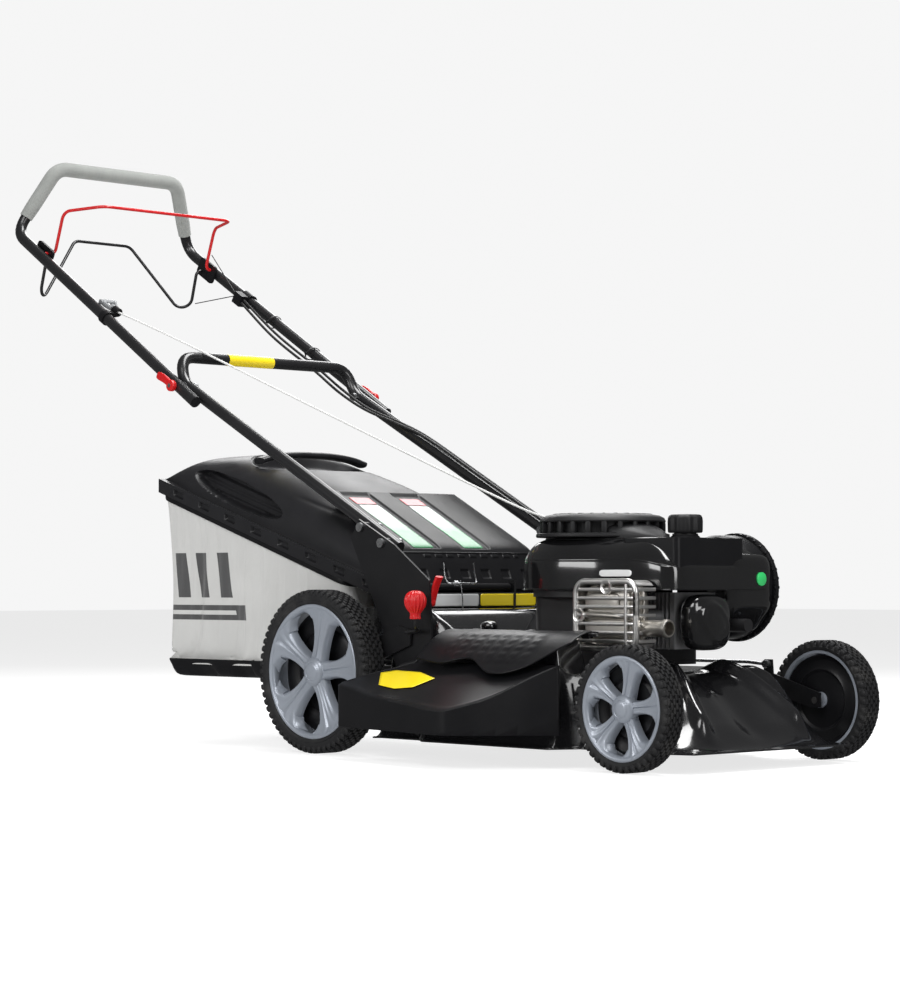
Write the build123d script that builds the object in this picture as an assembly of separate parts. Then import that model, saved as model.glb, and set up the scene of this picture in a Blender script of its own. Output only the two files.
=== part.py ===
from build123d import *
import os
from math import asin, atan2, cos, degrees, hypot, radians, sin

# Walk-behind rotary mower with a rear bag, a side chute and a folding handle. All sizes in millimetres.
# Modelling frame: ground at z = 0, rear axle at x = 0, forward +X, the operator's left +Y, up +Z.
# Every node is shifted at export so that the origin is the bottom centre of the whole object's box.

# --- driving sizes ---
WHEEL_BASE = 700.0
REAR_WHEEL_R, REAR_TYRE_W, REAR_RIM_R, REAR_OUT = 142.0, 50.0, 117.0, 298.0
FRONT_WHEEL_R, FRONT_TYRE_W, FRONT_RIM_R, FRONT_OUT = 100.0, 42.0, 83.0, 262.0
AXLE_R = 6.0
RIM_WALL, SPOKES = 8.0, 5
DECK_BOTTOM, DECK_TOP, DECK_WALL = 30.0, 150.0, 3.0
DECK_BACK, DECK_FRONT = 95.0, 790.0
DECK_HALF, DECK_HALF_BACK, DECK_HALF_FRONT = 262.0, 238.0, 207.0
REAR_PAN_END, NOSE_START = 216.0, 566.0
CRANK_X = 418.0
BLADE_R, BLADE_W, BLADE_T, BLADE_Z = 240.0, 55.0, 4.0, 58.0
SHAFT_R = 12.5
BELT_Z, BELT_H, BELT_T = 105.0, 12.0, 5.0
ENGINE_PULLEY_R, DRIVE_PULLEY_R = 25.0, 26.0
TUBE_R, TUBE_WALL, HANDLE_BEND = 11.0, 1.5, 36.0
LOWER_Y, UPPER_Y, GRIP_Y = 213.0, 238.0, 219.0
JOINT_X, JOINT_Z = -459.0, 665.0
FOAM_R = 15.0
BAIL_R = 3.2
CABLE_R = 2.7
ROPE_R = 2.0
BAG_HALF, BAG_WALL, BAG_BACK, BAG_FRONT = 195.0, 3.0, -578.0, -28.0
TUNNEL_RIGHT, TUNNEL_LEFT, TUNNEL_WALL = -150.0, 80.0, 4.0
PLATE_T = 4.0
BRACKET_Y = 236.0
HEIGHT_TRAVEL = 50.0
REAR_PIVOT = (182.0, 204.0)
FRONT_PIVOT = (600.0, 125.0)
LINK_REACH_FRONT = 33.0
SHROUD_BACK, SHROUD_FRONT, SHROUD_RIGHT, SHROUD_LEFT = 300.0, 672.0, -112.0, 150.0
SHROUD_BOTTOM, SHROUD_TOP, SHROUD_WALL = 284.0, 372.0, 3.0
DRUM_X, DRUM_R, DRUM_TOP = 415.0, 119.0, 398.0
GRILLE_R, GRILLE_TOP, GRILLE_SLOTS = 85.0, 413.0, 24
CAP_X, CAP_Y, CAP_R, CAP_Z, CAP_H, NECK_R = 562.0, 45.0, 30.5, 378.0, 32.0, 19.0
OUTLET_R, OUTLET_BORE_R = 13.5, 11.0
AIR_X, AIR_Z, AIR_R, AIR_Y = 578.0, 288.0, 88.0, (96.0, 150.0)
FLAP_HINGE = (-180.0, 212.0)
REAR_FLAP_HINGE = (112.0, 288.0)
SEAT_GAP = 0.3
RUN_GAP = 0.4
SOFT = 2000.0

SIDES = {"right": -1, "left": 1}
REAR_AXLE_Z, FRONT_AXLE_Z = REAR_WHEEL_R, FRONT_WHEEL_R
REAR_IN, FRONT_IN = REAR_OUT - REAR_TYRE_W, FRONT_OUT - FRONT_TYRE_W
shapes = {}
bolts, hinge_parts = [], []


def keep(name, *solids):
    """Files one node: one solid, or a group of separate ones."""
    found = [s for shape in solids for s in shape.solids()]
    shapes[name] = found[0] if len(found) == 1 else Compound(children=found)


def box(x, y, z):
    """A plain block between two limits along each axis."""
    sizes = [hi - lo for lo, hi in (x, y, z)]
    centre = [(hi + lo) / 2 for lo, hi in (x, y, z)]
    return Pos(*centre) * Box(*sizes)


def rod_z(x, y, low, high, radius):
    return Pos(x, y, (low + high) / 2) * Cylinder(radius, high - low)


def rod_y(x, z, low, high, radius):
    return Pos(x, (low + high) / 2, z) * Rot(90, 0, 0) * Cylinder(radius, high - low)


def rod_x(y, z, low, high, radius):
    return Pos((low + high) / 2, y, z) * Rot(0, 90, 0) * Cylinder(radius, high - low)


def side_plate(points, low, high):
    """A side view outline, in x and z, carried from y = low to y = high."""
    face = make_face(Polyline(*[(x, 0, z) for x, z in points], close=True))
    return Pos(0, low, 0) * extrude(face, amount=high - low, dir=(0, 1, 0))


def plan_plate(points, low, high):
    """A plan view outline, in x and y, carried from z = low to z = high."""
    face = make_face(Polyline(*[(x, y, 0) for x, y in points], close=True))
    return Pos(0, 0, low) * extrude(face, amount=high - low, dir=(0, 0, 1))


def front_plate(points, low, high):
    """A front view outline, in y and z, carried from x = low to x = high."""
    face = make_face(Polyline(*[(0, y, z) for y, z in points], close=True))
    return Pos(low, 0, 0) * extrude(face, amount=high - low, dir=(1, 0, 0))


def bend_radii(points, largest):
    """An arc radius for each corner: 0.45 of the shorter run, over the tangent of half the turn, up to the largest."""
    radii = []
    for a, b, c in zip(points, points[1:], points[2:]):
        first, second = Vector(*b) - Vector(*a), Vector(*c) - Vector(*b)
        half = radians(first.get_angle(second)) / 2
        radii.append(min(largest, 0.45 * min(first.length, second.length) * cos(half) / sin(half)))
    return radii


def bent_rod(points, radius, bore=0.0, bend=SOFT):
    """A round bar or tube along straight runs joined by tangent arcs."""
    straight = len(points) == 2
    path = Line(*points) if straight else FilletPolyline(*points, radius=bend_radii(points, bend))
    start = Plane(origin=path @ 0, z_dir=path % 0)
    rod = sweep(start * Circle(radius), path=path)
    return rod - sweep(start * Circle(bore), path=path) if bore else rod


def mirrored(points):
    """One side of a loop, followed by its mirror image across the middle plane."""
    return points + [(x, -y, z) for x, y, z in reversed(points)]


# --- deck ---
def deck_outline(inset=0.0):
    half = [
        (DECK_BACK + inset, DECK_HALF_BACK - inset),
        (REAR_PAN_END, DECK_HALF_BACK - inset),
        (REAR_PAN_END + 26, DECK_HALF - inset),
        (NOSE_START - 23, DECK_HALF - inset),
        (NOSE_START, DECK_HALF_FRONT - inset),
        (DECK_FRONT - 35, DECK_HALF_FRONT - inset),
        (DECK_FRONT - inset, DECK_HALF_FRONT - 57 - inset),
    ]
    return half + [(x, -y) for x, y in reversed(half)]


ENGINE_BOLTS = [(CRANK_X + 65 * a, 65 * b) for a in (-1, 1) for b in (-1, 1)]
HUMP = ((258, 540), (-DECK_HALF + 22, -172), DECK_TOP + 55)
DISCHARGE_X = (262.0, 532.0)


def make_deck():
    """Three pressings, tail, middle and nose, that meet where the sides step in for the wheels."""
    shell = plan_plate(deck_outline(), DECK_BOTTOM, DECK_TOP)
    shell = fillet(shell.faces().sort_by(Axis.Z)[-1].edges(), 14)
    hump = box(HUMP[0], (HUMP[1][0], HUMP[1][1]), (DECK_TOP - 20, HUMP[2]))
    shell += fillet(hump.faces().sort_by(Axis.Z)[-1].edges(), 16)
    inside = plan_plate(deck_outline(DECK_WALL), DECK_BOTTOM - 1, DECK_TOP - DECK_WALL)
    inside = fillet(inside.faces().sort_by(Axis.Z)[-1].edges(), 11)
    (x0, x1), (y0, y1), top = HUMP
    hollow = box((x0 + DECK_WALL, x1 - DECK_WALL), (y0 + DECK_WALL, y1 - DECK_WALL), (DECK_TOP - 30, top - DECK_WALL))
    shell -= inside + fillet(hollow.faces().sort_by(Axis.Z)[-1].edges(), 13)
    shell -= box(DISCHARGE_X, (-DECK_HALF - 5, -DECK_HALF + 12), (60, 132))
    shell -= box((DECK_BACK - 5, 155), (TUNNEL_RIGHT - SEAT_GAP, TUNNEL_LEFT + SEAT_GAP), (69.7, DECK_TOP + 5))
    shell -= box((DECK_BACK - 5, DECK_BACK + 10), (104, 190), (BELT_Z - 4, BELT_Z + BELT_H + 8))
    shell -= rod_z(CRANK_X, 0, DECK_TOP - 10, DECK_TOP + 10, 52)
    for x, y in ENGINE_BOLTS:
        shell -= rod_z(x, y, 100, 200, 4.05)
    pivot_x, pivot_z = FRONT_PIVOT
    shell -= rod_y(pivot_x, pivot_z, -DECK_HALF, DECK_HALF, 5.1)
    pans = ((0, REAR_PAN_END), (REAR_PAN_END + SEAT_GAP, NOSE_START), (NOSE_START + SEAT_GAP, 1000))
    keep("deck", *[shell & box(pan, (-500, 500), (0, 500)) for pan in pans])


def make_tunnel():
    outer = [(150, 70), (64, 158), (-22, 166), (-22, 252), (104, 252), (150, 214)]
    wall = TUNNEL_WALL
    inner = [(170, 54), (66, 158 + wall), (-30, 167 + wall), (-30, 252 - wall), (102, 252 - wall), (170, 192)]
    shell = side_plate(outer, TUNNEL_RIGHT, TUNNEL_LEFT)
    shell -= side_plate(inner, TUNNEL_RIGHT + wall, TUNNEL_LEFT - wall)
    ears = [
        side_plate([(92, 251), (122, 228), (124, 300), (100, 300)], y, y + 5)
        for y in (TUNNEL_RIGHT, TUNNEL_LEFT - 5)
    ]
    bore = rod_y(*REAR_FLAP_HINGE, TUNNEL_RIGHT - 5, TUNNEL_LEFT + 5, 3.1)
    ledge = box((72, 92), (TUNNEL_RIGHT + 10, TUNNEL_LEFT - 10), (250, lid_z(80) - SEAT_GAP))
    keep("discharge_tunnel", shell + ears[0] + ears[1] + ledge - bore)


# --- handle brackets, height adjustment and axles ---
LIFT_ANGLE_REAR = degrees(
    asin((REAR_PIVOT[1] - REAR_AXLE_Z + HEIGHT_TRAVEL) / hypot(REAR_PIVOT[0], REAR_PIVOT[1] - REAR_AXLE_Z))
    - atan2(REAR_PIVOT[1] - REAR_AXLE_Z, REAR_PIVOT[0])
)
FRONT_REACH = WHEEL_BASE - FRONT_PIVOT[0]
FRONT_DROP = FRONT_PIVOT[1] - FRONT_AXLE_Z
LIFT_ANGLE_FRONT = degrees(
    asin((FRONT_DROP + HEIGHT_TRAVEL) / hypot(FRONT_REACH, FRONT_DROP)) - atan2(FRONT_DROP, FRONT_REACH)
)
LINK_TRAVEL = LINK_REACH_FRONT * sin(radians(LIFT_ANGLE_FRONT))
LINK_REACH_REAR = LINK_TRAVEL / sin(radians(LIFT_ANGLE_REAR))
ARM_Y = BRACKET_Y + PLATE_T + 1.0
FRONT_ARM_Y = DECK_HALF_FRONT + 4.0


def tube_z(x):
    """Height of the lower handle's axis at x, on the line through the folding joint."""
    return JOINT_Z - LOWER_SLOPE * (x - JOINT_X)


LOWER_FOOT = (136.0, 355.7)
LOWER_SLOPE = (JOINT_Z - LOWER_FOOT[1]) / (LOWER_FOOT[0] - JOINT_X)
FOOT_BOLTS = [(120.0, 5.0), (66.0, 5.0)]


def make_brackets():
    """Steel plates between the deck and the lower handle, with the bolts through both."""
    plates = []
    for s in SIDES.values():
        plate = side_plate([(40, 372), (60, 406), (150, 362), (240, 300), (250, DECK_TOP), (160, DECK_TOP)],
                           s * BRACKET_Y, s * (BRACKET_Y + PLATE_T))
        foot = box((165, 245), sorted((s * (BRACKET_Y - 30), s * BRACKET_Y)), (DECK_TOP, DECK_TOP + PLATE_T))
        plate += foot
        plate -= rod_y(*REAR_PIVOT, -400, 400, 6.05)
        for x, radius in FOOT_BOLTS:
            plate += rod_y(x, tube_z(x), *sorted((s * (LOWER_Y + TUBE_R + 0.2), s * BRACKET_Y)), 9)
            plate -= rod_y(x, tube_z(x), -400, 400, radius)
        plates.append(plate)
        for x, radius in FOOT_BOLTS:
            shank = rod_y(x, tube_z(x), *sorted((s * (LOWER_Y - TUBE_R - 2), s * (BRACKET_Y + PLATE_T + 3))), radius - 0.1)
            head = rod_y(x, tube_z(x), *sorted((s * (BRACKET_Y + PLATE_T + 0.1), s * (BRACKET_Y + PLATE_T + 5))), 8)
            nut = rod_y(x, tube_z(x), *sorted((s * (LOWER_Y - TUBE_R - 6), s * (LOWER_Y - TUBE_R - 0.2))), 8)
            bolts.append(shank + head + nut)
    keep("handle_brackets", *plates)


def make_rear_lift():
    pivot_x, pivot_z = REAR_PIVOT
    link_x, link_z = pivot_x, pivot_z - LINK_REACH_REAR
    arms = []
    for side, s in SIDES.items():
        low, high = sorted((s * ARM_Y, s * (ARM_Y + PLATE_T)))
        arm = side_plate([(-14, 128), (-14, 156), (166, 222), (200, 216), (198, 190), (12, 126)], low, high)
        if side == "left":
            arm += side_plate([(168, 200), (196, 200), (192, link_z - 10), (172, link_z - 10)], low, high)
        pin = rod_y(pivot_x, pivot_z, *sorted((s * (BRACKET_Y - 6), s * (ARM_Y + 1))), 6.0)
        arms.append(arm + pin - rod_y(0, REAR_AXLE_Z, -400, 400, AXLE_R))
    keep("rear_lift_arms", *arms)
    keep("rear_axle", rod_y(0, REAR_AXLE_Z, -REAR_OUT + 12, REAR_OUT - 12, AXLE_R))
    y = -(ARM_Y + PLATE_T)
    lever = [(192, y - 3.1, 212), (224, y - 3.1, 215), (237, -268, 218), (237, -268, 254)]
    keep("height_lever", bent_rod(lever, 3.0))
    bulb = Pos(237, -268, 264) * Sphere(19) + rod_z(237, -268, 234, 264, 9)
    keep("height_knob", bulb - rod_z(237, -268, 220, 254.2, 3.1))


def make_front_lift():
    pivot_x, pivot_z = FRONT_PIVOT
    arms, stubs = [], []
    for side, s in SIDES.items():
        low, high = sorted((s * FRONT_ARM_Y, s * (FRONT_ARM_Y + PLATE_T)))
        arm = side_plate([(586, 116), (588, 142), (612, 142), (712, 112), (712, 88), (690, 88)], low, high)
        if side == "left":
            arm += side_plate([(589, 130), (611, 130), (608, pivot_z + 41), (592, pivot_z + 41)], low, high)
        arm -= rod_y(WHEEL_BASE, FRONT_AXLE_Z, -400, 400, AXLE_R)
        arms.append(arm - rod_y(pivot_x, pivot_z, -400, 400, 5.0))
        stub = rod_y(WHEEL_BASE, FRONT_AXLE_Z, *sorted((s * FRONT_ARM_Y, s * (FRONT_OUT - 10))), AXLE_R)
        stubs.append(stub)
    reach = FRONT_ARM_Y + PLATE_T
    keep("front_lift_arms", *arms)
    keep("front_axle", rod_y(pivot_x, pivot_z, -reach, reach, 5.0), *stubs)


def make_link():
    rear = (REAR_PIVOT[0], ARM_Y + PLATE_T + 4.3, REAR_PIVOT[1] - LINK_REACH_REAR)
    front = (FRONT_PIVOT[0], FRONT_ARM_Y - 4.3, FRONT_PIVOT[1] + LINK_REACH_FRONT)
    bar_z = DECK_TOP + 11
    route = [rear, (rear[0] + 1, rear[1], bar_z), (266, rear[1], bar_z), (340, front[1], bar_z), (560, front[1], bar_z), front]
    rod = bent_rod(route, 3.0, bend=40.0)
    for x, y, z in (rear, front):
        rod += rod_y(x, z, y - 4, y + 4, 7)
    keep("height_link", rod)


# --- wheels ---
def wheel(x, z, inner, outer, s, radius, rim_radius, hub_radius):
    """Tyre, spoked rim and hub cap of one wheel, between two distances from the middle plane."""
    low, high = sorted((s * inner, s * outer))
    tyre = rod_y(x, z, low, high, radius) - rod_y(x, z, low - 1, high + 1, rim_radius)
    tyre = chamfer([e for e in tyre.edges().filter_by(GeomType.CIRCLE) if e.radius > rim_radius + 1], 4)
    rim = rod_y(x, z, low + 3, high - 3, rim_radius) - rod_y(x, z, low, high, rim_radius - RIM_WALL)
    face_low, face_high = sorted((s * (outer - 16), s * (outer - 5)))
    disc = rod_y(x, z, face_low, face_high, rim_radius - RIM_WALL / 2)
    hole_mid, hole_r = (hub_radius + rim_radius) / 2, (rim_radius - RIM_WALL - hub_radius) / 2 - 5
    for k in range(SPOKES):
        angle = 360 / SPOKES * k + 90
        where = Pos(x + hole_mid * cos(radians(angle)), 0, z + hole_mid * sin(radians(angle)))
        disc -= where * Pos(0, (face_low + face_high) / 2, 0) * Rot(90, 0, 0) * Cylinder(hole_r, 40)
    hub_low, hub_high = sorted((s * (inner + 2), s * (outer - 9)))
    hub = rod_y(x, z, hub_low, hub_high, hub_radius - 6)
    rim = rim + disc + hub - rod_y(x, z, low, high, AXLE_R + 0.08)
    cap_low, cap_high = sorted((s * (outer - 5), s * (outer - 1)))
    return tyre, rim, rod_y(x, z, cap_low, cap_high, hub_radius - 2)


def make_wheels():
    ends = {
        "rear": (0, REAR_AXLE_Z, REAR_IN, REAR_OUT, REAR_WHEEL_R, REAR_RIM_R, 27),
        "front": (WHEEL_BASE, FRONT_AXLE_Z, FRONT_IN, FRONT_OUT, FRONT_WHEEL_R, FRONT_RIM_R, 24),
    }
    for end, (x, z, inner, outer, radius, rim_radius, hub) in ends.items():
        for side, s in SIDES.items():
            tyre, rim, cap = wheel(x, z, inner, outer, s, radius, rim_radius, hub)
            keep(f"{end}_tyre_{side}", tyre)
            keep(f"{end}_rim_{side}", rim, cap)


# --- cutting and drive ---
def make_cutting():
    shaft_top = SHROUD_BOTTOM + 70
    keep("crankshaft", rod_z(CRANK_X, 0, BLADE_Z + 20, shaft_top, SHAFT_R) - rod_z(CRANK_X, 0, 0, BLADE_Z + 50, 5.0))
    pulley = rod_z(CRANK_X, 0, BELT_Z - 4, BELT_Z + BELT_H + 4, ENGINE_PULLEY_R + 4)
    groove = rod_z(CRANK_X, 0, BELT_Z, BELT_Z + BELT_H, ENGINE_PULLEY_R + 8) - rod_z(CRANK_X, 0, 0, 200, ENGINE_PULLEY_R)
    pulley -= groove + rod_z(CRANK_X, 0, 0, 200, SHAFT_R)
    adapter = rod_z(CRANK_X, 0, BLADE_Z + BLADE_T, BELT_Z - 4, 22) + rod_z(CRANK_X, 0, BLADE_Z + BLADE_T, BLADE_Z + BLADE_T + 8, 34)
    socket = rod_z(CRANK_X, 0, BLADE_Z + 20, 200, SHAFT_R)
    keep("blade_adapter", adapter - socket - rod_z(CRANK_X, 0, 0, 200, 5.0) + pulley)
    blade = box((CRANK_X - BLADE_R, CRANK_X + BLADE_R), (-BLADE_W / 2, BLADE_W / 2), (BLADE_Z, BLADE_Z + BLADE_T))
    for s in (-1, 1):
        tip = BLADE_R - 60
        wing = front_plate([(s * BLADE_W / 2, BLADE_Z), (s * (BLADE_W / 2 + 14), BLADE_Z + 16),
                            (s * (BLADE_W / 2 + 14), BLADE_Z + 16 + BLADE_T), (s * BLADE_W / 2, BLADE_Z + BLADE_T)],
                           *sorted((CRANK_X + s * tip, CRANK_X + s * (BLADE_R - 14))))
        blade += wing
    keep("blade", blade - rod_z(CRANK_X, 0, 0, 200, 5.0))
    head = rod_z(CRANK_X, 0, BLADE_Z - 9, BLADE_Z, 10)
    keep("blade_bolt", head + rod_z(CRANK_X, 0, BLADE_Z - 5, BLADE_Z + 48, 5.0))
    wheel_low = SHROUD_BOTTOM + 8
    flywheel = rod_z(CRANK_X, 0, wheel_low, wheel_low + 18, 92)
    for k in range(12):
        fin = Pos(CRANK_X, 0, 0) * Rot(0, 0, 30 * k) * box((52, 90), (-1.5, 1.5), (wheel_low + 10, wheel_low + 40))
        flywheel += fin
    keep("flywheel", flywheel - rod_z(CRANK_X, 0, 0, 500, SHAFT_R))


GEARBOX = ((-24, 60), (126, 216), (124, 184))
DRIVE_PULLEY = (30.0, 170.0)


def make_drive():
    case = box(*GEARBOX)
    case = fillet(case.edges().filter_by(Axis.Y), 14)
    case -= rod_y(0, REAR_AXLE_Z, 0, 300, AXLE_R)
    x, y = DRIVE_PULLEY
    case -= rod_z(x, y, 100, 140, 6.0)
    keep("gearbox", case)
    pulley = rod_z(x, y, BELT_Z - 3, BELT_Z + BELT_H + 3, DRIVE_PULLEY_R + 4)
    groove = rod_z(x, y, BELT_Z, BELT_Z + BELT_H, DRIVE_PULLEY_R + 8) - rod_z(x, y, 0, 200, DRIVE_PULLEY_R)
    keep("drive_pulley", pulley - groove + rod_z(x, y, BELT_Z, 139, 5.7))
    dx, dy = CRANK_X - x, -y
    run = hypot(dx, dy)
    turn = degrees(atan2(dy, dx))
    span = Pos(run / 2, 0, 0)

    def loop(extra, low, high):
        big, small = DRIVE_PULLEY_R + extra, ENGINE_PULLEY_R + extra
        middle = Pos(0, 0, (low + high) / 2) * span * Box(run, small + big, high - low)
        return middle + rod_z(0, 0, low, high, big) + rod_z(run, 0, low, high, small)

    belt = loop(BELT_T + 0.1, BELT_Z + 1, BELT_Z + BELT_H - 1) - loop(0.1, BELT_Z, BELT_Z + BELT_H)
    keep("drive_belt", Pos(x, y, 0) * Rot(0, 0, turn) * belt)


# --- engine ---
def make_engine():
    case = box((330, 560), (-92, 92), (DECK_TOP + 10, SHROUD_BOTTOM - 6))
    case = fillet(case.edges().filter_by(Axis.Z), 30)
    case += rod_z(CRANK_X, 0, DECK_TOP + SEAT_GAP, DECK_TOP + 10, 110) + rod_z(CRANK_X, 0, DECK_TOP - 10, DECK_TOP + 10, 50)
    case += rod_z(DRUM_X, 0, SHROUD_BOTTOM - 12, SHROUD_BOTTOM - SEAT_GAP, DRUM_R - 1)
    case -= box((360, 530), (-60, 60), (DECK_TOP + 22, SHROUD_BOTTOM - 18))
    for x, y in ENGINE_BOLTS:
        case -= rod_z(x, y, 100, DECK_TOP + 10.1, 4.05)
        bolts.append(rod_z(x, y, DECK_TOP - 12, DECK_TOP + 9.9, 4))
    keep("crankcase", case - rod_z(CRANK_X, 0, 0, 500, SHAFT_R + RUN_GAP))
    head = box((560, 636), (-64, 40), (188, SHROUD_BOTTOM - 4))
    for k in range(7):
        x = 568 + 9 * k
        head -= box((x, x + 4), (-70, -52), (180, 290)) + box((x, x + 4), (28, 50), (180, 290))
    head += rod_y(600, 240, -118, -60, 12) + box((596, 632), (38, 70), (210, 242))
    head -= rod_y(600, 240, -118, -62, 8) + rod_x(56, 226, 590, 640, 8)
    keep("cylinder", head)
    cover = box((636, 688), (-66, 34), (184, 278))
    cover = fillet(cover.edges().filter_by(Axis.X) + cover.faces().sort_by(Axis.X)[-1].edges(), 12)
    keep("rocker_cover", cover)
    plug = rod_x(56, 226, 600, 660, 8) + rod_x(56, 226, 634, 690, 11)
    keep("spark_plug", plug)
    shroud = box((SHROUD_BACK + 30, SHROUD_FRONT), (SHROUD_RIGHT, SHROUD_LEFT), (SHROUD_BOTTOM, SHROUD_TOP))
    shroud = fillet(shroud.edges().filter_by(Axis.Z), 26)
    shroud = fillet(shroud.faces().sort_by(Axis.Z)[-1].edges(), 12)
    shroud += rod_z(DRUM_X, 0, SHROUD_BOTTOM, DRUM_TOP, DRUM_R)
    wall = SHROUD_WALL
    hollow = box((SHROUD_BACK + 30 + wall, SHROUD_FRONT - wall), (SHROUD_RIGHT + wall, SHROUD_LEFT - wall),
                 (SHROUD_BOTTOM - 1, SHROUD_TOP - wall))
    hollow = fillet(hollow.edges().filter_by(Axis.Z), 23)
    hollow += rod_z(DRUM_X, 0, SHROUD_BOTTOM - 1, DRUM_TOP - wall, DRUM_R - wall)
    shroud -= hollow + rod_z(DRUM_X, 0, DRUM_TOP - 5, DRUM_TOP + 5, GRILLE_R + 5)
    shroud -= rod_z(CAP_X, CAP_Y, SHROUD_TOP - 10, SHROUD_TOP + 30, NECK_R + 3)
    shroud -= rod_y(AIR_X, AIR_Z, AIR_Y[0] - 2, 400, AIR_R + SEAT_GAP)
    keep("engine_shroud", shroud)
    make_recoil()
    make_tank()
    make_exhaust()
    air = rod_y(AIR_X, AIR_Z, *AIR_Y, AIR_R) - rod_y(AIR_X, AIR_Z, AIR_Y[0] + 3, AIR_Y[1] + 1, AIR_R - 3)
    cover = rod_y(AIR_X, AIR_Z, AIR_Y[1], AIR_Y[1] + 12, AIR_R + 4)
    cover = fillet(cover.edges().filter_by(GeomType.CIRCLE).sort_by(Axis.Y)[-1], 6)
    keep("air_filter_housing", air, cover)
    keep("air_filter_element", rod_y(AIR_X, AIR_Z, AIR_Y[0] + 3, AIR_Y[1], AIR_R - 14) -
         rod_y(AIR_X, AIR_Z, AIR_Y[0] + 2, AIR_Y[1] + 1, AIR_R - 40))


def make_recoil():
    x = DRUM_X
    cover = rod_z(x, 0, DRUM_TOP + SEAT_GAP, GRILLE_TOP, DRUM_R - 12) - rod_z(x, 0, DRUM_TOP, GRILLE_TOP - 3, GRILLE_R)
    for k in range(GRILLE_SLOTS):
        slot = box((34, GRILLE_R - 6), (-2.5, 2.5), (DRUM_TOP, GRILLE_TOP + 1))
        cover -= Pos(x, 0, 0) * Rot(0, 0, 360 / GRILLE_SLOTS * (k + 0.5)) * slot
    spout = rod_x(0, DRUM_TOP + 8, x - DRUM_R - 2, x - DRUM_R + 30, 6)
    cover += spout - rod_x(0, DRUM_TOP + 8, 200, x - DRUM_R + 40, ROPE_R + 0.6)
    keep("recoil_cover", cover)


def make_tank():
    tank = box((542, SHROUD_FRONT - 6), (-90, 76), (SHROUD_BOTTOM + 6, SHROUD_TOP - SHROUD_WALL - SEAT_GAP))
    tank = fillet(tank.edges().filter_by(Axis.Z), 10)
    hollow = box((546, SHROUD_FRONT - 10), (-86, 72), (SHROUD_BOTTOM + 10, SHROUD_TOP - 10))
    tank -= rod_y(AIR_X, AIR_Z, AIR_Y[0] - 40, AIR_Y[1], AIR_R + 4) & box((500, 700), (70, 200), (0, 500))
    neck = rod_z(CAP_X, CAP_Y, SHROUD_TOP - 8, CAP_Z + 10, NECK_R)
    keep("fuel_tank", tank + neck - hollow - rod_z(CAP_X, CAP_Y, SHROUD_TOP - 20, CAP_Z + 20, NECK_R - 3))
    cap = rod_z(CAP_X, CAP_Y, CAP_Z, CAP_Z + CAP_H, CAP_R)
    cap = fillet(cap.edges().filter_by(GeomType.CIRCLE).sort_by(Axis.Z)[-1], 5)
    keep("fuel_cap", cap - rod_z(CAP_X, CAP_Y, CAP_Z - 1, CAP_Z + 10.3, NECK_R + RUN_GAP))


GUARD = ((500, 645), (-165, -112.3), (183, 304))


def make_exhaust():
    body = fillet(box((514, 634), (-156, -113), (198, 290)).edges(), 8)
    body -= box((520, 628), (-150, -119), (204, 284)) + rod_y(600, 240, -120, -100, 12.1)
    outlet = rod_x(-135, 223, 634, 690, OUTLET_R) + body
    keep("muffler", outlet - rod_x(-135, 223, 600, 700, OUTLET_BORE_R))
    (x0, x1), (y0, y1), (z0, z1) = GUARD
    guard = fillet(box(*GUARD).edges().filter_by(Axis.X), 10)
    guard -= box((x0 + 1.5, x1 - 1.5), (y0 + 1.5, y1 + 5), (z0 + 1.5, z1 - 1.5))
    for k in range(9):
        z = z0 + 14 + 11 * k
        guard -= box((x0 + 18, x1 - 18), (y0 - 5, y0 + 5), (z, z + 5))
    keep("muffler_guard", guard - rod_x(-135, 223, 600, 700, OUTLET_R + 1.5))


# --- side chute and its flap ---
def side_cover_plane(shift):
    """A large block under the chute's sloping top, which falls outwards from the deck."""
    slope = degrees(atan2(165 - 91, 400 - 262))
    return Pos(0, -262, 165 + shift) * Rot(slope, 0, 0) * box((-500, 1500), (-1000, 1000), (-1000, 0))


def make_chute():
    wall = 4.0
    hump_wall = HUMP[1][0] - SEAT_GAP
    plan = [(236, -DECK_HALF - SEAT_GAP), (264, -DECK_HALF - SEAT_GAP), (264, hump_wall), (534, hump_wall),
            (534, -DECK_HALF - SEAT_GAP), (590, -DECK_HALF - SEAT_GAP), (433, -400), (118, -342), (162, -304)]
    inner = [(240, -DECK_HALF + 30), (582, -DECK_HALF + 30), (582, -DECK_HALF - SEAT_GAP), (430, -395), (440, -460),
             (90, -420), (114, -346), (164, -304)]
    outer = plan_plate(plan, 52, 260) & side_cover_plane(0)
    keep("side_chute", outer - (plan_plate(inner, 40, 260) & side_cover_plane(-wall)))


def make_side_flap():
    hinge_y, hinge_z = FLAP_HINGE
    x0, x1 = 256, 584
    arc = [(hinge_y - 6, hinge_z + 4), (-214, 215), (-240, 205), (-258, 190), (-268, 172)]
    skin = arc + [(y - 2.4, z + 2.4) for y, z in reversed(arc)]
    flap = front_plate(skin, x0, x1)
    for x in (x0 + 30, (x0 + x1) / 2, x1 - 40):
        flap += rod_x(hinge_y, hinge_z, x, x + 16, 7)
        flap += box((x, x + 16), (hinge_y - 9, hinge_y - 3), (hinge_z - 3, hinge_z + 6))
    keep("side_flap", flap - rod_x(hinge_y, hinge_z, x0 - 10, x1 + 10, 3.08))
    ears = []
    for x in (x0 + 50, x1 - 64):
        ear = box((x, x + 10), (hinge_y - 5, hinge_y + 8), (HUMP[2] + SEAT_GAP, hinge_z + 5))
        ears.append(ear - rod_x(hinge_y, hinge_z, 0, 900, 3.0))
    hinge_parts.extend(ears)
    hinge_parts.append(rod_x(hinge_y, hinge_z, x0 + 20, x1 - 10, 3.0))


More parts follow.
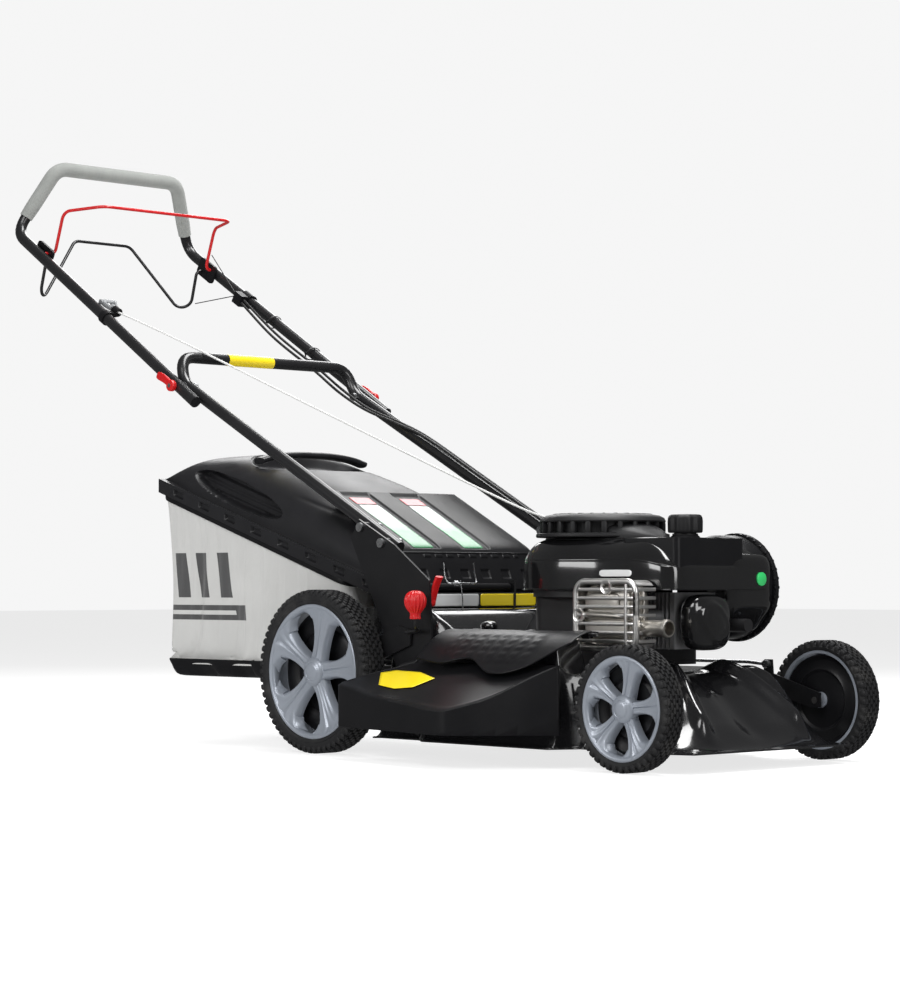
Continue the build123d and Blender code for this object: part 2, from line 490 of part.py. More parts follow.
# --- rear flap ---
def make_rear_flap():
    hx, hz = REAR_FLAP_HINGE
    outer = [(hx + 5, hz - 6), (84, 360), (-122, 466)]
    inner = [(-123, 462), (80, 357), (hx + 1, hz - 6)]
    flap = side_plate(outer + inner, -166, 166)
    flap += rod_y(hx, hz, TUNNEL_RIGHT + 8, TUNNEL_LEFT - 8, 7)
    for s in (-1, 1):
        flap += side_plate([(hx + 2, hz), (84, 357), (84, 316)], *sorted((s * 163, s * 166)))
    for y in (TUNNEL_RIGHT, TUNNEL_LEFT - 5):
        flap -= box((90, 130), (y - 2, y + 7), (hz - 12, hz + 16))
    keep("rear_flap", flap - rod_y(hx, hz, -300, 300, 3.08))
    hinge_parts.append(rod_y(hx, hz, TUNNEL_RIGHT - 2, TUNNEL_LEFT + 2, 3.0))


# --- bag ---
LID_EDGE = [(-578, 470), (80, 264)]


def lid_z(x):
    """Height of the lid's lower edge, which slopes down towards the deck."""
    (x0, z0), (x1, z1) = LID_EDGE
    return z0 + (z1 - z0) * (x - x0) / (x1 - x0)


def make_bag():
    half, wall = BAG_HALF, BAG_WALL
    top = [(BAG_BACK, lid_z(BAG_BACK)), (BAG_BACK + 4, 492), (-520, 540), (-400, 541), (-206, 488), (-118, 452),
           (76, 351), (80, 340), (80, lid_z(80))]
    lid = side_plate(top, -half, half)
    cavity = [(BAG_BACK + 4, 440), (BAG_BACK + 7, 488), (-518, 536), (-402, 537), (-208, 484), (-120, 448),
              (73, 346), (76, 338), (76, lid_z(76) - 20)]
    lid -= side_plate(cavity, -half + wall, half - wall)
    keep("bag_lid", lid)
    body = [(BAG_BACK + 4, lid_z(BAG_BACK + 4) - SEAT_GAP), (BAG_BACK + 16, 142), (BAG_FRONT - 20, 142),
            (BAG_FRONT, 165), (BAG_FRONT, lid_z(BAG_FRONT) - SEAT_GAP)]
    inside = [(BAG_BACK + 7, 700), (BAG_BACK + 19, 100), (BAG_FRONT - 20 - wall, 100),
              (BAG_FRONT - wall, 166), (BAG_FRONT - wall, 700)]
    cloth = side_plate(body, -half + 4, half - 4) - side_plate(inside, -half + 4 + wall, half - 4 - wall)
    mouth = box((BAG_FRONT - 10, BAG_FRONT + 5), (TUNNEL_RIGHT + 6, TUNNEL_LEFT - 6), (176, 244))
    keep("bag_cloth", cloth - mouth)
    tray = side_plate([(BAG_BACK + 16, 141.7), (BAG_BACK + 26, 118), (BAG_FRONT - 40, 118), (BAG_FRONT - 20, 141.7)],
                      -half + 6, half - 6)
    hollow = side_plate([(BAG_BACK + 22, 150), (BAG_BACK + 30, 121), (BAG_FRONT - 43, 121), (BAG_FRONT - 26, 150)],
                        -half + 9, half - 9)
    keep("bag_tray", tray - hollow)


# --- handle ---
UPPER_FOOT = (-404.0, 631.6)
UPPER_SLOPE = (JOINT_Z - UPPER_FOOT[1]) / (UPPER_FOOT[0] - JOINT_X)
ELBOW_X = -1028.0


def upper_z(x):
    return JOINT_Z - UPPER_SLOPE * (x - JOINT_X)


def upper_y(x):
    return UPPER_Y - (UPPER_Y - GRIP_Y) * (UPPER_FOOT[0] - x) / (UPPER_FOOT[0] - ELBOW_X)


LOWER_PATH = mirrored([(LOWER_FOOT[0], -LOWER_Y, LOWER_FOOT[1]), (-472.0, -LOWER_Y, tube_z(-472.0)), (-492.0, -205.0, 724.0)])
UPPER_PATH = mirrored([(UPPER_FOOT[0], -UPPER_Y, UPPER_FOOT[1]), (ELBOW_X, -GRIP_Y, upper_z(ELBOW_X)), (-980.0, -152.0, 1143.0)])
RED_PIVOT = (-930.0, 8.0)
BLACK_PIVOT = (-958.0, -8.0)


def pivot_height(pivot):
    return upper_z(pivot[0]) + pivot[1]


def make_handle():
    lower = bent_rod(LOWER_PATH, TUBE_R, TUBE_R - TUBE_WALL, bend=HANDLE_BEND)
    for x, radius in FOOT_BOLTS:
        lower -= rod_y(x, tube_z(x), -400, 400, radius)
    lower -= rod_y(JOINT_X, JOINT_Z, -400, 400, 4.05)
    keep("lower_handle", lower)
    upper = bent_rod(UPPER_PATH, TUBE_R, TUBE_R - TUBE_WALL, bend=HANDLE_BEND)
    upper -= rod_y(JOINT_X, JOINT_Z, -400, 400, 4.05)
    for pivot in (RED_PIVOT, BLACK_PIVOT):
        upper -= rod_y(pivot[0], pivot_height(pivot), -upper_y(pivot[0]), upper_y(pivot[0]), BAIL_R + 0.1)
    keep("upper_handle", upper)
    start = Vector(*UPPER_PATH[1]) + (Vector(*UPPER_PATH[2]) - Vector(*UPPER_PATH[1])) * 0.22
    foam = mirrored([tuple(start), UPPER_PATH[2]])
    keep("foam_grip", bent_rod(foam, FOAM_R, TUBE_R + 0.1, bend=HANDLE_BEND))
    hinge_y = upper_y(JOINT_X)
    for side, s in SIDES.items():
        bolt = rod_y(JOINT_X, JOINT_Z, *sorted((s * (LOWER_Y - TUBE_R - 7), s * (hinge_y + TUBE_R + 12))), 4.0)
        bolt += rod_y(JOINT_X, JOINT_Z, *sorted((s * (LOWER_Y - TUBE_R - 7), s * (LOWER_Y - TUBE_R - 0.2))), 8)
        bolt += rod_y(JOINT_X, JOINT_Z, *sorted((s * (LOWER_Y + TUBE_R + 0.2), s * (hinge_y - TUBE_R - 0.8))), 9)
        bolts.append(bolt)
        y0, y1 = s * (hinge_y + TUBE_R + 0.8), s * (hinge_y + TUBE_R + 11)
        cam = rod_y(JOINT_X, JOINT_Z, *sorted((y0, y1)), 11)
        cam += side_plate([(JOINT_X + 8, JOINT_Z - 9), (JOINT_X + 8, JOINT_Z + 9), (JOINT_X - 44, JOINT_Z + 32),
                           (JOINT_X - 50, JOINT_Z + 18)], *sorted((s * (hinge_y + TUBE_R + 2), y1)))
        keep(f"cam_lever_{side}", cam - rod_y(JOINT_X, JOINT_Z, -400, 400, 4.08))


def bail(pivot, rest):
    """A wire bail: ends turned out into the handle tubes, arms, and a cross bar."""
    x, z = pivot[0], pivot_height(pivot)
    y = upper_y(x)
    ends = [(x, -y + 3, z), (x, -y + 30, z)]
    return bent_rod(mirrored(ends + rest), BAIL_R, bend=24.0)


def make_bails():
    keep("brake_bail", bail(RED_PIVOT, [(-899, -192, 1043), (-806, -160, 1047)]))
    keep("drive_bail", bail(BLACK_PIVOT, [(-990, -192, 852), (-1034, -70, 1007)]))
    blocks = []
    for s in SIDES.values():
        block = Pos(-944, 0, upper_z(-944)) * Rot(0, 31, 0) * box((-30, 30), (-2.5, 2.5), (-19, 19))
        block = Pos(0, s * (upper_y(-944) - TUBE_R - 3.4), 0) * fillet(block.edges().filter_by(Axis.Y), 8)
        for pivot in (RED_PIVOT, BLACK_PIVOT):
            block -= rod_y(pivot[0], pivot_height(pivot), -400, 400, BAIL_R + 0.1)
        blocks.append(block)
    keep("bail_blocks", *blocks)


GUIDE = (-701.0, -204.0)


def make_rope():
    x, y = GUIDE
    axis_y, axis_z = -upper_y(x), upper_z(x)
    clip = Pos(x, axis_y, axis_z) * Rot(0, 31, 0) * (Rot(0, 90, 0) * Cylinder(TUBE_R + 3, 14) - Rot(0, 90, 0) * Cylinder(TUBE_R + 0.7, 16))
    eye = Pos(x, y, axis_z + 14) * Rot(0, 31, 0) * (Rot(0, 90, 0) * Cylinder(9, 14) - Rot(0, 90, 0) * Cylinder(ROPE_R + 2.5, 16))
    tube_hole = Pos(x, axis_y, axis_z) * Rot(0, 31, 0) * Rot(0, 90, 0) * Cylinder(TUBE_R + 0.7, 60)
    rope_hole = Pos(x, y, axis_z + 14) * Rot(0, 31, 0) * Rot(0, 90, 0) * Cylinder(ROPE_R + 2.5, 60)
    web = Pos(x, (y + axis_y) / 2, axis_z + 8) * Rot(0, 31, 0) * Box(12, 18, 8)
    rope_guide = clip + eye + web - tube_hole - rope_hole
    slant = Pos(x, y, axis_z + 14) * Rot(0, 31, 0)
    grip = fillet(box((-44, -8), (-8, 8), (-22, 22)).edges(), 5)
    grip -= box((-38, -20), (-20, 20), (-15, 15)) + Rot(0, 90, 0) * Cylinder(ROPE_R + 0.1, 40)
    keep("starter_grip", slant * grip)
    rope = [(-719.0, y, upper_z(-719) + 14), (x, y, axis_z + 14), (-664.0, -190.0, 802.0), (-492.0, -64.0, 741.0),
            (-100.0, -34.0, 552.0), (250.0, 0.0, DRUM_TOP + 12), (292.0, 0.0, DRUM_TOP + 8)]
    keep("starter_rope", bent_rod(rope, ROPE_R, bend=80.0))
    return rope_guide


def make_cables():
    x = -828.0
    y, z = upper_y(x), upper_z(x)
    clamp = Pos(x, y, z) * Rot(0, 31, 0) * (Rot(0, 90, 0) * Cylinder(TUBE_R + 4, 26) - Rot(0, 90, 0) * Cylinder(TUBE_R + 0.7, 30))
    pad = Pos(x, y, z) * Rot(0, 31, 0) * box((-13, 13), (-30, -TUBE_R - 2), (-12, 12))
    over = (TUBE_R + CABLE_R) * 1.3
    brake = [(x + 13, 198, z - 10), (-560, 182, upper_z(-560) - 4), (-400, 180, tube_z(-400) + 1),
             (-250, 206, tube_z(-250) + over), (60, 206, tube_z(60) + over), (200, 160, 362), (328.2, 104, 340)]
    drive = [(x + 13, 204, z - 4), (-560, 190, upper_z(-560) + 2), (-400, 187, tube_z(-400) + 4),
             (-250, 214, tube_z(-250) + over), (80, 214, tube_z(80) + over), (165, 212, 375), (172, 206, 290),
             (150, 198, 215), (132, 196, 151)]
    cables = []
    for name, route in (("brake cable", brake), ("drive cable", drive)):
        print(name, "arc radii", [round(r) for r in bend_radii(route, SOFT)])
        cables.append(bent_rod(route, CABLE_R))
    wires = [((RED_PIVOT[0] + 14, 198, pivot_height(RED_PIVOT) + 30), (x - 12, 206, z + 7.4)),
             ((-970, 196, 890), (x - 12, 199, z + 7.4))]
    keep("control_cables", *cables)
    keep("bail_wires", *[bent_rod([a, b], 1.0) for a, b in wires])
    return clamp + pad


def make_small_parts():
    lever = side_plate([(224, 252), (240, 252), (256, 306), (244, 311)], -228, -222)
    lever += rod_y(232, 262, -235.7, -222, 7)
    keep("latch_lever", fillet(lever.edges().filter_by(Axis.Y).filter_by(GeomType.LINE), 2))
    spring = [(132, -60, 230.6), (132, -60, 268), (126, -60, 300)]
    hinge_parts.append(bent_rod(spring, 1.2))


def export_all():
    """Writes every node, shifted so that the origin is the bottom centre of the whole object's box."""
    boxes = [shape.bounding_box() for shape in shapes.values()]
    middle = [(min(b.min.X for b in boxes) + max(b.max.X for b in boxes)) / 2,
              (min(b.min.Y for b in boxes) + max(b.max.Y for b in boxes)) / 2]
    low = min(b.min.Z for b in boxes)
    print("shift", middle, low, "nodes", len(shapes))
    os.makedirs("parts", exist_ok=True)
    for name, shape in shapes.items():
        export_step(Pos(-middle[0], -middle[1], -low) * shape, f"parts/{name}.step")
    return middle + [low]


make_deck()
make_tunnel()
make_brackets()
make_rear_lift()
make_front_lift()
make_link()
make_wheels()
make_cutting()
make_drive()
make_engine()
make_chute()
make_side_flap()
make_rear_flap()
make_bag()
make_handle()
make_bails()
keep("handle_clips", make_rope(), make_cables())
make_small_parts()
keep("frame_bolts", *bolts)
keep("flap_hinges", *hinge_parts)
SHIFT = export_all()
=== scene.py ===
# %% [markdown]
# # A petrol lawn mower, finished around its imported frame
# The frame holds every part at its true size and place: wheels, axles, engine, bag and folding handle. This
# script keeps those places and adds what a simple solid doesn't have: tread blocks, pressed ridges, slots,
# woven cloth and real finishes. Sizes below are in millimetres as a mower maker would mark them up: rear axle
# at x = 0, middle plane at y = 0, ground at z = 0.

import bmesh
import bpy
import numpy as np
from mathutils import Matrix, Vector


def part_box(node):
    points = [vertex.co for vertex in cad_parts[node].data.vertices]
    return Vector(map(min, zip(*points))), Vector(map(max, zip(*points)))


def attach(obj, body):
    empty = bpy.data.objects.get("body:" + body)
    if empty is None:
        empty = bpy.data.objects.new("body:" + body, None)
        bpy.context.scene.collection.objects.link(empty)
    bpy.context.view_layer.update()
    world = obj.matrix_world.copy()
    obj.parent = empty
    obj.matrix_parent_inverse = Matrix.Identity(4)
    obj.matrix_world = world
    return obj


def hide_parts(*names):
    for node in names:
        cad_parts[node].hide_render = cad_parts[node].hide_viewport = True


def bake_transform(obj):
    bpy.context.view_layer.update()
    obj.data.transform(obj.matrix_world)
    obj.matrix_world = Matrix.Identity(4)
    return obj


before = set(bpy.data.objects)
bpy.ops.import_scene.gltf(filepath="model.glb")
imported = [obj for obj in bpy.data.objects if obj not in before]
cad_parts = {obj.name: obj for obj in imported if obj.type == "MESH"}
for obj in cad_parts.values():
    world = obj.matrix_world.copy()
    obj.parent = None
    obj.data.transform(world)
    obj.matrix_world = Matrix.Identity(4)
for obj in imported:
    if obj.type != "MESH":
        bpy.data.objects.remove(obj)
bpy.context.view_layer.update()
AXLE_LOW, AXLE_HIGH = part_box("rear_axle")
ORIGIN = np.array([(AXLE_LOW.x + AXLE_HIGH.x) / 2, (AXLE_LOW.y + AXLE_HIGH.y) / 2, 0.0])
print("maker's origin in the frame", ORIGIN.round(4))


def place(points):
    """Maker's millimetres to metres in the frame: divide by 1000, then add the place of the rear axle's middle."""
    return np.asarray(points, float) / 1000 + ORIGIN


# %% [markdown]
# ## Camera and light
# The mower is seen from its front right corner, from knee height, with a long lens, so its upright lines stay
# nearly parallel. A catalogue shot like this is lit by big soft boxes. Gloss black shows only what it mirrors,
# so the boxes are wide, and one long strip lies low on the right to draw the bright lines along the shroud and
# the deck. The walls look bright to the camera but shed little light of their own, so the backdrop is near
# white and black paint stays black.

# %% Camera and light
TURN, TILT = np.radians(46.97), np.radians(-1.76)
CAMERA_PLACE = (3561.5, -3291.9, 296.5)
LENS, SENSOR = 96.46, 36.0


def aim_camera():
    """Looks along (-sin turn cos tilt, cos turn cos tilt, -sin tilt), with its own right side level."""
    ahead = Vector((-np.sin(TURN) * np.cos(TILT), np.cos(TURN) * np.cos(TILT), -np.sin(TILT)))
    right = Vector((np.cos(TURN), np.sin(TURN), 0))
    camera = bpy.data.objects.new("camera", bpy.data.cameras.new("camera"))
    camera.data.lens, camera.data.sensor_width, camera.data.sensor_fit = LENS, SENSOR, "AUTO"
    camera.data.clip_end = 50
    camera.matrix_world = Matrix((right, right.cross(ahead), -ahead)).transposed().to_4x4()
    camera.location = place(CAMERA_PLACE)
    bpy.context.scene.collection.objects.link(camera)
    bpy.context.scene.camera = camera


def soft_box(name, spot, target, size, watts, tint=(1, 1, 1)):
    """A rectangular area light at spot, facing target, size = (width, height) in metres."""
    light = bpy.data.lights.new(name, "AREA")
    light.shape, light.size, light.size_y = "RECTANGLE", *size
    light.energy, light.color = watts, tint
    lamp = bpy.data.objects.new(name, light)
    lamp.location = spot
    lamp.rotation_euler = (Vector(target) - Vector(spot)).to_track_quat("-Z", "Y").to_euler()
    bpy.context.scene.collection.objects.link(lamp)


aim_camera()
soft_box("key box", (1.6, -3.0, 3.2), (0, 0, 0.3), (2.6, 1.6), 74)
soft_box("front strip", (3.4, -0.4, 1.5), (0.2, 0, 0.3), (0.9, 2.2), 34)
soft_box("right strip", (-0.6, -3.2, 1.1), (0, 0, 0.3), (1.6, 0.7), 24)
soft_box("back box", (-2.2, 2.4, 2.4), (0, 0, 0.5), (2.4, 1.6), 52)
soft_box("top box", (0.3, 0.5, 2.9), (0.1, 0, 0.3), (2.2, 1.1), 88)
bpy.context.scene.view_settings.view_transform = "Standard"

world = bpy.context.scene.world or bpy.data.worlds.new("studio")
bpy.context.scene.world = world
world.use_nodes = True
WALLS = world.node_tree.nodes["Background"]
SEEN, SHED = 0.92, 0.12
path = world.node_tree.nodes.new("ShaderNodeLightPath")
level = world.node_tree.nodes.new("ShaderNodeMapRange")
level.inputs["To Min"].default_value, level.inputs["To Max"].default_value = SHED, SEEN
world.node_tree.links.new(path.outputs["Is Camera Ray"], level.inputs["Value"])
world.node_tree.links.new(level.outputs["Result"], WALLS.inputs["Strength"])
WALLS.inputs["Color"].default_value = (1.0, 1.0, 1.0, 1)


# %% [markdown]
# ## Shapes as arrays
# Every new piece is a grid of points worked out at once with numpy: a profile turned round an axis, a ring
# carried along a path, or a height over a plan. A grid keeps neighbours in order, so its quads come from the
# row and column numbers alone. The alternative, modelling by hand with a mouse, can't be rerun when a size
# changes.

# %% Grids, turned profiles, swept rings
def quads_of(rows, columns, wrap_rows, wrap_columns):
    """Each quad joins point (i, j) to the next row and the next column, counted round where that way closes."""
    i, j = np.meshgrid(
        np.arange(rows if wrap_rows else rows - 1), np.arange(columns if wrap_columns else columns - 1), indexing="ij"
    )
    i, j = i.ravel(), j.ravel()
    down, across = (i + 1) % rows, (j + 1) % columns
    return np.stack([i * columns + j, down * columns + j, down * columns + across, i * columns + across], axis=1)


def grid(points, wrap_rows=False, wrap_columns=False):
    """A grid of points, rows x columns x 3, as (points, quads)."""
    rows, columns = points.shape[:2]
    return points.reshape(-1, 3), quads_of(rows, columns, wrap_rows, wrap_columns)


def together(*shapes):
    """Several shapes as one: each one's quads are numbered on from the points before them."""
    starts = np.cumsum([0] + [len(points) for points, _ in shapes[:-1]])
    return (
        np.concatenate([points for points, _ in shapes]),
        np.concatenate([quads + start for (_, quads), start in zip(shapes, starts)]),
    )


def on_axis(along, a, b, axis):
    """Puts a length along one axis and two across it into x, y, z order, keeping it right-handed."""
    order = {"x": (along, a, b), "y": (b, along, a), "z": (a, b, along)}[axis]
    return np.stack(np.broadcast_arrays(*order), axis=-1)


def turned(profile, centre, axis="y", count=64, flutes=0, flute_depth=0.0, closed=False):
    """Turns (radius, along) points round an axis through centre. Each radius is cut by flute_depth x (1 -
    cos(flutes x angle)) / 2 of itself. A closed profile joins its last point to its first."""
    radius, along = np.asarray(profile, float).T
    angle = np.linspace(0, 2 * np.pi, count, endpoint=False)
    wave = 1 - flute_depth * (1 - np.cos(flutes * angle)) / 2
    points = on_axis(along[:, None], radius[:, None] * np.cos(angle) * wave, radius[:, None] * np.sin(angle) * wave,
                     axis)
    return grid(points + np.asarray(centre, float), closed, True)


def eased(x):
    """Smooth step: 0 below 0, 1 above 1, and 3x^2 - 2x^3 between."""
    x = np.clip(x, 0, 1)
    return x * x * (3 - 2 * x)


def spline(points, count=80):
    """A smooth line through points: Catmull-Rom cubics, sampled at even steps of the point number."""
    p = np.asarray(points, float)
    p = np.concatenate([[2 * p[0] - p[1]], p, [2 * p[-1] - p[-2]]])
    t = np.linspace(0, len(points) - 1 - 1e-9, count)
    k = t.astype(int)
    f = (t - k)[:, None]
    a, b, c, d = p[k], p[k + 1], p[k + 2], p[k + 3]
    return 0.5 * (2 * b + (c - a) * f + (2 * a - 5 * b + 4 * c - d) * f**2 + (3 * b - a - 3 * c + d) * f**3)


def oval(width, height, count=12, power=2.0):
    """A closed ring |u/w|^p + |v/h|^p = 1: round for power 2, nearer a rectangle above it."""
    angle = np.linspace(0, 2 * np.pi, count, endpoint=False)
    c, s = np.cos(angle), np.sin(angle)
    bend = 2 / power
    return np.stack([width * np.sign(c) * np.abs(c) ** bend, height * np.sign(s) * np.abs(s) ** bend], axis=1)


def swept(path, ring, up=(0, 0, 1), scale=1.0, capped=True):
    """Carries a flat ring along a path. At each point its first axis is path direction x up, its second is
    across both. Capped ends gather the ring to its middle."""
    path = np.asarray(path, float)
    ahead = np.gradient(path, axis=0)
    ahead /= np.linalg.norm(ahead, axis=1, keepdims=True)
    side = np.cross(ahead, np.asarray(up, float))
    side /= np.linalg.norm(side, axis=1, keepdims=True)
    over = np.cross(side, ahead)
    size = np.broadcast_to(np.asarray(scale, float), (len(path),))[:, None, None]
    points = path[:, None] + size * (ring[:, 0, None] * side[:, None] + ring[:, 1, None] * over[:, None])
    if capped:
        ends = np.broadcast_to(path[[0, -1], None], (2, len(ring), 3))
        points = np.concatenate([ends[:1], points, ends[1:]])
    return grid(points, False, True)


def pillow(low, high, power=5.0, rows=14, columns=28):
    """A block with soft corners between two corners: the superellipsoid |x|^p + |y|^p + |z|^p = 1, stretched
    to fit."""
    low, high = np.asarray(low, float), np.asarray(high, float)
    up, round_ = np.linspace(-np.pi / 2, np.pi / 2, rows)[:, None], np.linspace(0, 2 * np.pi, columns, endpoint=False)
    unit = np.stack(np.broadcast_arrays(np.cos(up) * np.cos(round_), np.cos(up) * np.sin(round_), np.sin(up)),
                    axis=-1)
    size = (np.abs(unit) ** power).sum(axis=-1, keepdims=True) ** (-1 / power)
    return grid((low + high) / 2 + unit * size * (high - low) / 2, False, True)


def around(shape, count, centre, axis="y", start=0.0):
    """Repeats a shape evenly round an axis through centre."""
    points, quads = shape
    centre = np.asarray(centre, float)
    keep = "xyz".index(axis)
    a, b = [(1, 2), (2, 0), (0, 1)][keep]
    angle = (start + np.arange(count) * 2 * np.pi / count)[:, None]
    p = points - centre
    out = np.empty((count, len(points), 3))
    out[..., keep] = p[:, keep]
    out[..., a] = p[:, a] * np.cos(angle) - p[:, b] * np.sin(angle)
    out[..., b] = p[:, a] * np.sin(angle) + p[:, b] * np.cos(angle)
    shifts = np.arange(count)[:, None, None] * len(points)
    return (out + centre).reshape(-1, 3), (quads[None] + shifts).reshape(-1, 4)


def moved(shape, offset, rows=None):
    """A shape turned by a 3 x 3 matrix, if there is one, then shifted."""
    points, quads = shape
    return (points if rows is None else points @ np.asarray(rows, float).T) + np.asarray(offset, float), quads


def tilt_y(degrees):
    """A turn about +y, which lowers +x for a positive angle."""
    c, s = np.cos(np.radians(degrees)), np.sin(np.radians(degrees))
    return np.array([[c, 0, s], [0, 1, 0], [-s, 0, c]])


# %% [markdown]
# A shape becomes a piece when it has a mesh, a finish, a body to ride on and, where it stands for a plain
# solid, that solid's name. Doubled points at poles and seams are merged first, so that nothing is left open,
# and the faces are then turned outwards. Sheet metal and mouldings are drawn as one skin, and Solidify gives
# them their wall.

# %% From a shape to a piece
def piece(name, shape, body, finish, replaces=(), wall=0.0, rim=0.0, sharp=38, uv=None):
    """Makes the mesh, merges doubles, faces it outwards, gives it a wall (mm) and a soft edge (mm), and seats it."""
    points, quads = shape
    mesh = bpy.data.meshes.new(name)
    mesh.from_pydata(place(points).tolist(), [], quads.tolist())
    if uv is not None:
        corners = np.empty(len(mesh.loops), int)
        mesh.loops.foreach_get("vertex_index", corners)
        mesh.uv_layers.new(name="UVMap").data.foreach_set("uv", uv[corners].ravel())
    work = bmesh.new()
    work.from_mesh(mesh)
    bmesh.ops.remove_doubles(work, verts=work.verts, dist=2e-6)
    bmesh.ops.dissolve_degenerate(work, edges=work.edges, dist=1e-7)
    bmesh.ops.recalc_face_normals(work, faces=work.faces)
    work.to_mesh(mesh)
    work.free()
    mesh.shade_smooth()
    mesh.set_sharp_from_angle(angle=np.radians(sharp))
    made = bpy.data.objects.new(name, mesh)
    bpy.context.scene.collection.objects.link(made)
    mesh.materials.append(finish)
    if wall:
        solid = made.modifiers.new("wall", "SOLIDIFY")
        solid.thickness, solid.offset = wall / 1000, -1
    if rim:
        edge = made.modifiers.new("soft edge", "BEVEL")
        edge.width, edge.segments, edge.limit_method, edge.angle_limit = rim / 1000, 2, "ANGLE", np.radians(50)
    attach(made, body)
    if replaces:
        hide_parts(*replaces)
    return made


# %% [markdown]
# ## Finishes as expressions
# A finish is a small calculation: noise picks between two shades, a finer noise lifts the surface. Written node
# by node it is long, so one class wraps a socket and turns +, -, * and comparisons into Math nodes. Only
# colour, roughness, metal share, coat weight and bump vary over a surface here. Every constant sits on the
# shader's own socket.

# %% Sockets that can be added and multiplied
class Wire:
    """One value in a finish. Arithmetic on it adds Math nodes."""

    def __init__(self, finish, socket):
        self.finish, self.socket = finish, socket

    def join(self, operation, first, second):
        return self.finish.add("Math", {"operation": operation}, {0: first, 1: second})

    def __add__(self, other):
        return self.join("ADD", self, other)

    def __sub__(self, other):
        return self.join("SUBTRACT", self, other)

    def __rsub__(self, other):
        return self.join("SUBTRACT", other, self)

    def __mul__(self, other):
        return self.join("MULTIPLY", self, other)

    def __gt__(self, other):
        return self.join("GREATER_THAN", self, other)

    def __lt__(self, other):
        return self.join("LESS_THAN", self, other)

    def sine(self):
        return self.join("SINE", self, 0.0)

    def fraction(self):
        return self.join("FRACT", self, 0.0)

    def inside(self, low, high):
        """1 where the value is between low and high, else 0."""
        return (self > low) * (self < high)

    __radd__, __rmul__ = __add__, __mul__


class Finish:
    """A material with one Principled shader. Constants go straight on its sockets."""

    def __init__(self, name, **constants):
        self.material = bpy.data.materials.new(name)
        self.material.use_nodes = True
        self.nodes, self.links = self.material.node_tree.nodes, self.material.node_tree.links
        self.shader = self.nodes["Principled BSDF"]
        for socket, value in constants.items():
            self.shader.inputs[socket.replace("_", " ")].default_value = value

    def add(self, kind, settings=None, inputs=None, output=0):
        """Adds a node, its settings first, then the values or wires of its sockets. Returns one output as a Wire."""
        node = self.nodes.new("ShaderNode" + kind)
        for key, value in (settings or {}).items():
            setattr(node, key, value)
        for key, value in (inputs or {}).items():
            if isinstance(value, Wire):
                self.links.new(value.socket, node.inputs[key])
            else:
                node.inputs[key].default_value = value
        return Wire(self, node.outputs[output])

    def feed(self, socket, wire):
        """Links a wire to one of the shader's own sockets."""
        self.links.new(wire.socket, self.shader.inputs[socket])

    def spot(self):
        """The place on the surface, in metres."""
        return self.add("TexCoord", output="Object")

    def axes(self, wire):
        """The three numbers of a vector, in maker's millimetres when the vector is a place on the mower."""
        node = self.add("SeparateXYZ", None, {0: wire})
        outputs = node.socket.node.outputs
        return [(Wire(self, outputs[k]) - float(ORIGIN[k])) * 1000.0 for k in range(3)]

    def noise(self, scale, detail=3.0, rough=0.55, vector=None):
        """Noise from 0 to 1 with `scale` swells to a metre."""
        where = self.spot() if vector is None else vector
        return self.add("TexNoise", None, {"Vector": where, "Scale": scale, "Detail": detail, "Roughness": rough})

    def blend(self, share, first, second):
        """Mixes two colours, given as wires or (r, g, b), by a share from 0 to 1."""
        pair = [c if isinstance(c, Wire) else (*c, 1.0) for c in (first, second)]
        return self.add("Mix", {"data_type": "RGBA"}, {0: share, 6: pair[0], 7: pair[1]}, 2)

    def lift(self, height, depth_mm, strength=1.0, under=None):
        """Bump by a height from 0 to 1 that stands for depth_mm."""
        extra = {} if under is None else {"Normal": under}
        return self.add("Bump", None, {"Height": height, "Distance": depth_mm / 1000, "Strength": strength, **extra})


def mottled(name, light, dark, rough, spread, grain, depth, cloud=14.0, **constants):
    """Colour: clouds of noise between two shades. Roughness: rough +- spread by the same clouds. Bump: a
    fine grain."""
    finish = Finish(name, **constants)
    clouds = finish.noise(cloud, 4.0)
    finish.feed("Base Color", finish.blend(clouds, dark, light))
    finish.feed("Roughness", (clouds - 0.5) * (2 * spread) + rough)
    finish.feed("Normal", finish.lift(finish.noise(grain, 2.0), depth, 0.6))
    return finish


def finish_of(*args, **constants):
    """A mottled finish, as the material itself."""
    return mottled(*args, **constants).material


# %% [markdown]
# Black is most of this mower, and each black is different: baked enamel on the deck, powder coat on the tubes,
# polished plastic on the engine cover, grained plastic on the bag and chute, and rubber. They differ in
# roughness, clear coat and the size of their grain much more than in colour.

# %% Painted, moulded and metal finishes
ENAMEL = finish_of("deck enamel", (0.012, 0.012, 0.013), (0.006, 0.006, 0.007), 0.16, 0.05, 260, 0.02,
                   Coat_Weight=0.8, Coat_Roughness=0.05)
POWDER = finish_of("tube powder coat", (0.014, 0.014, 0.015), (0.008, 0.008, 0.009), 0.30, 0.05, 900, 0.03,
                   Coat_Weight=0.35, Coat_Roughness=0.12)
PLATE_BLACK = finish_of("plate coating", (0.010, 0.010, 0.011), (0.006, 0.006, 0.007), 0.34, 0.07, 700, 0.03,
                        Specular_IOR_Level=0.4)
GLOSS = finish_of("polished cover plastic", (0.008, 0.008, 0.009), (0.005, 0.005, 0.005), 0.15, 0.04, 60, 0.01,
                  Coat_Weight=0.9, Coat_Roughness=0.05)
GRAINED = finish_of("grained black plastic", (0.008, 0.008, 0.009), (0.004, 0.004, 0.005), 0.38, 0.07, 1500, 0.06,
                    Specular_IOR_Level=0.3)
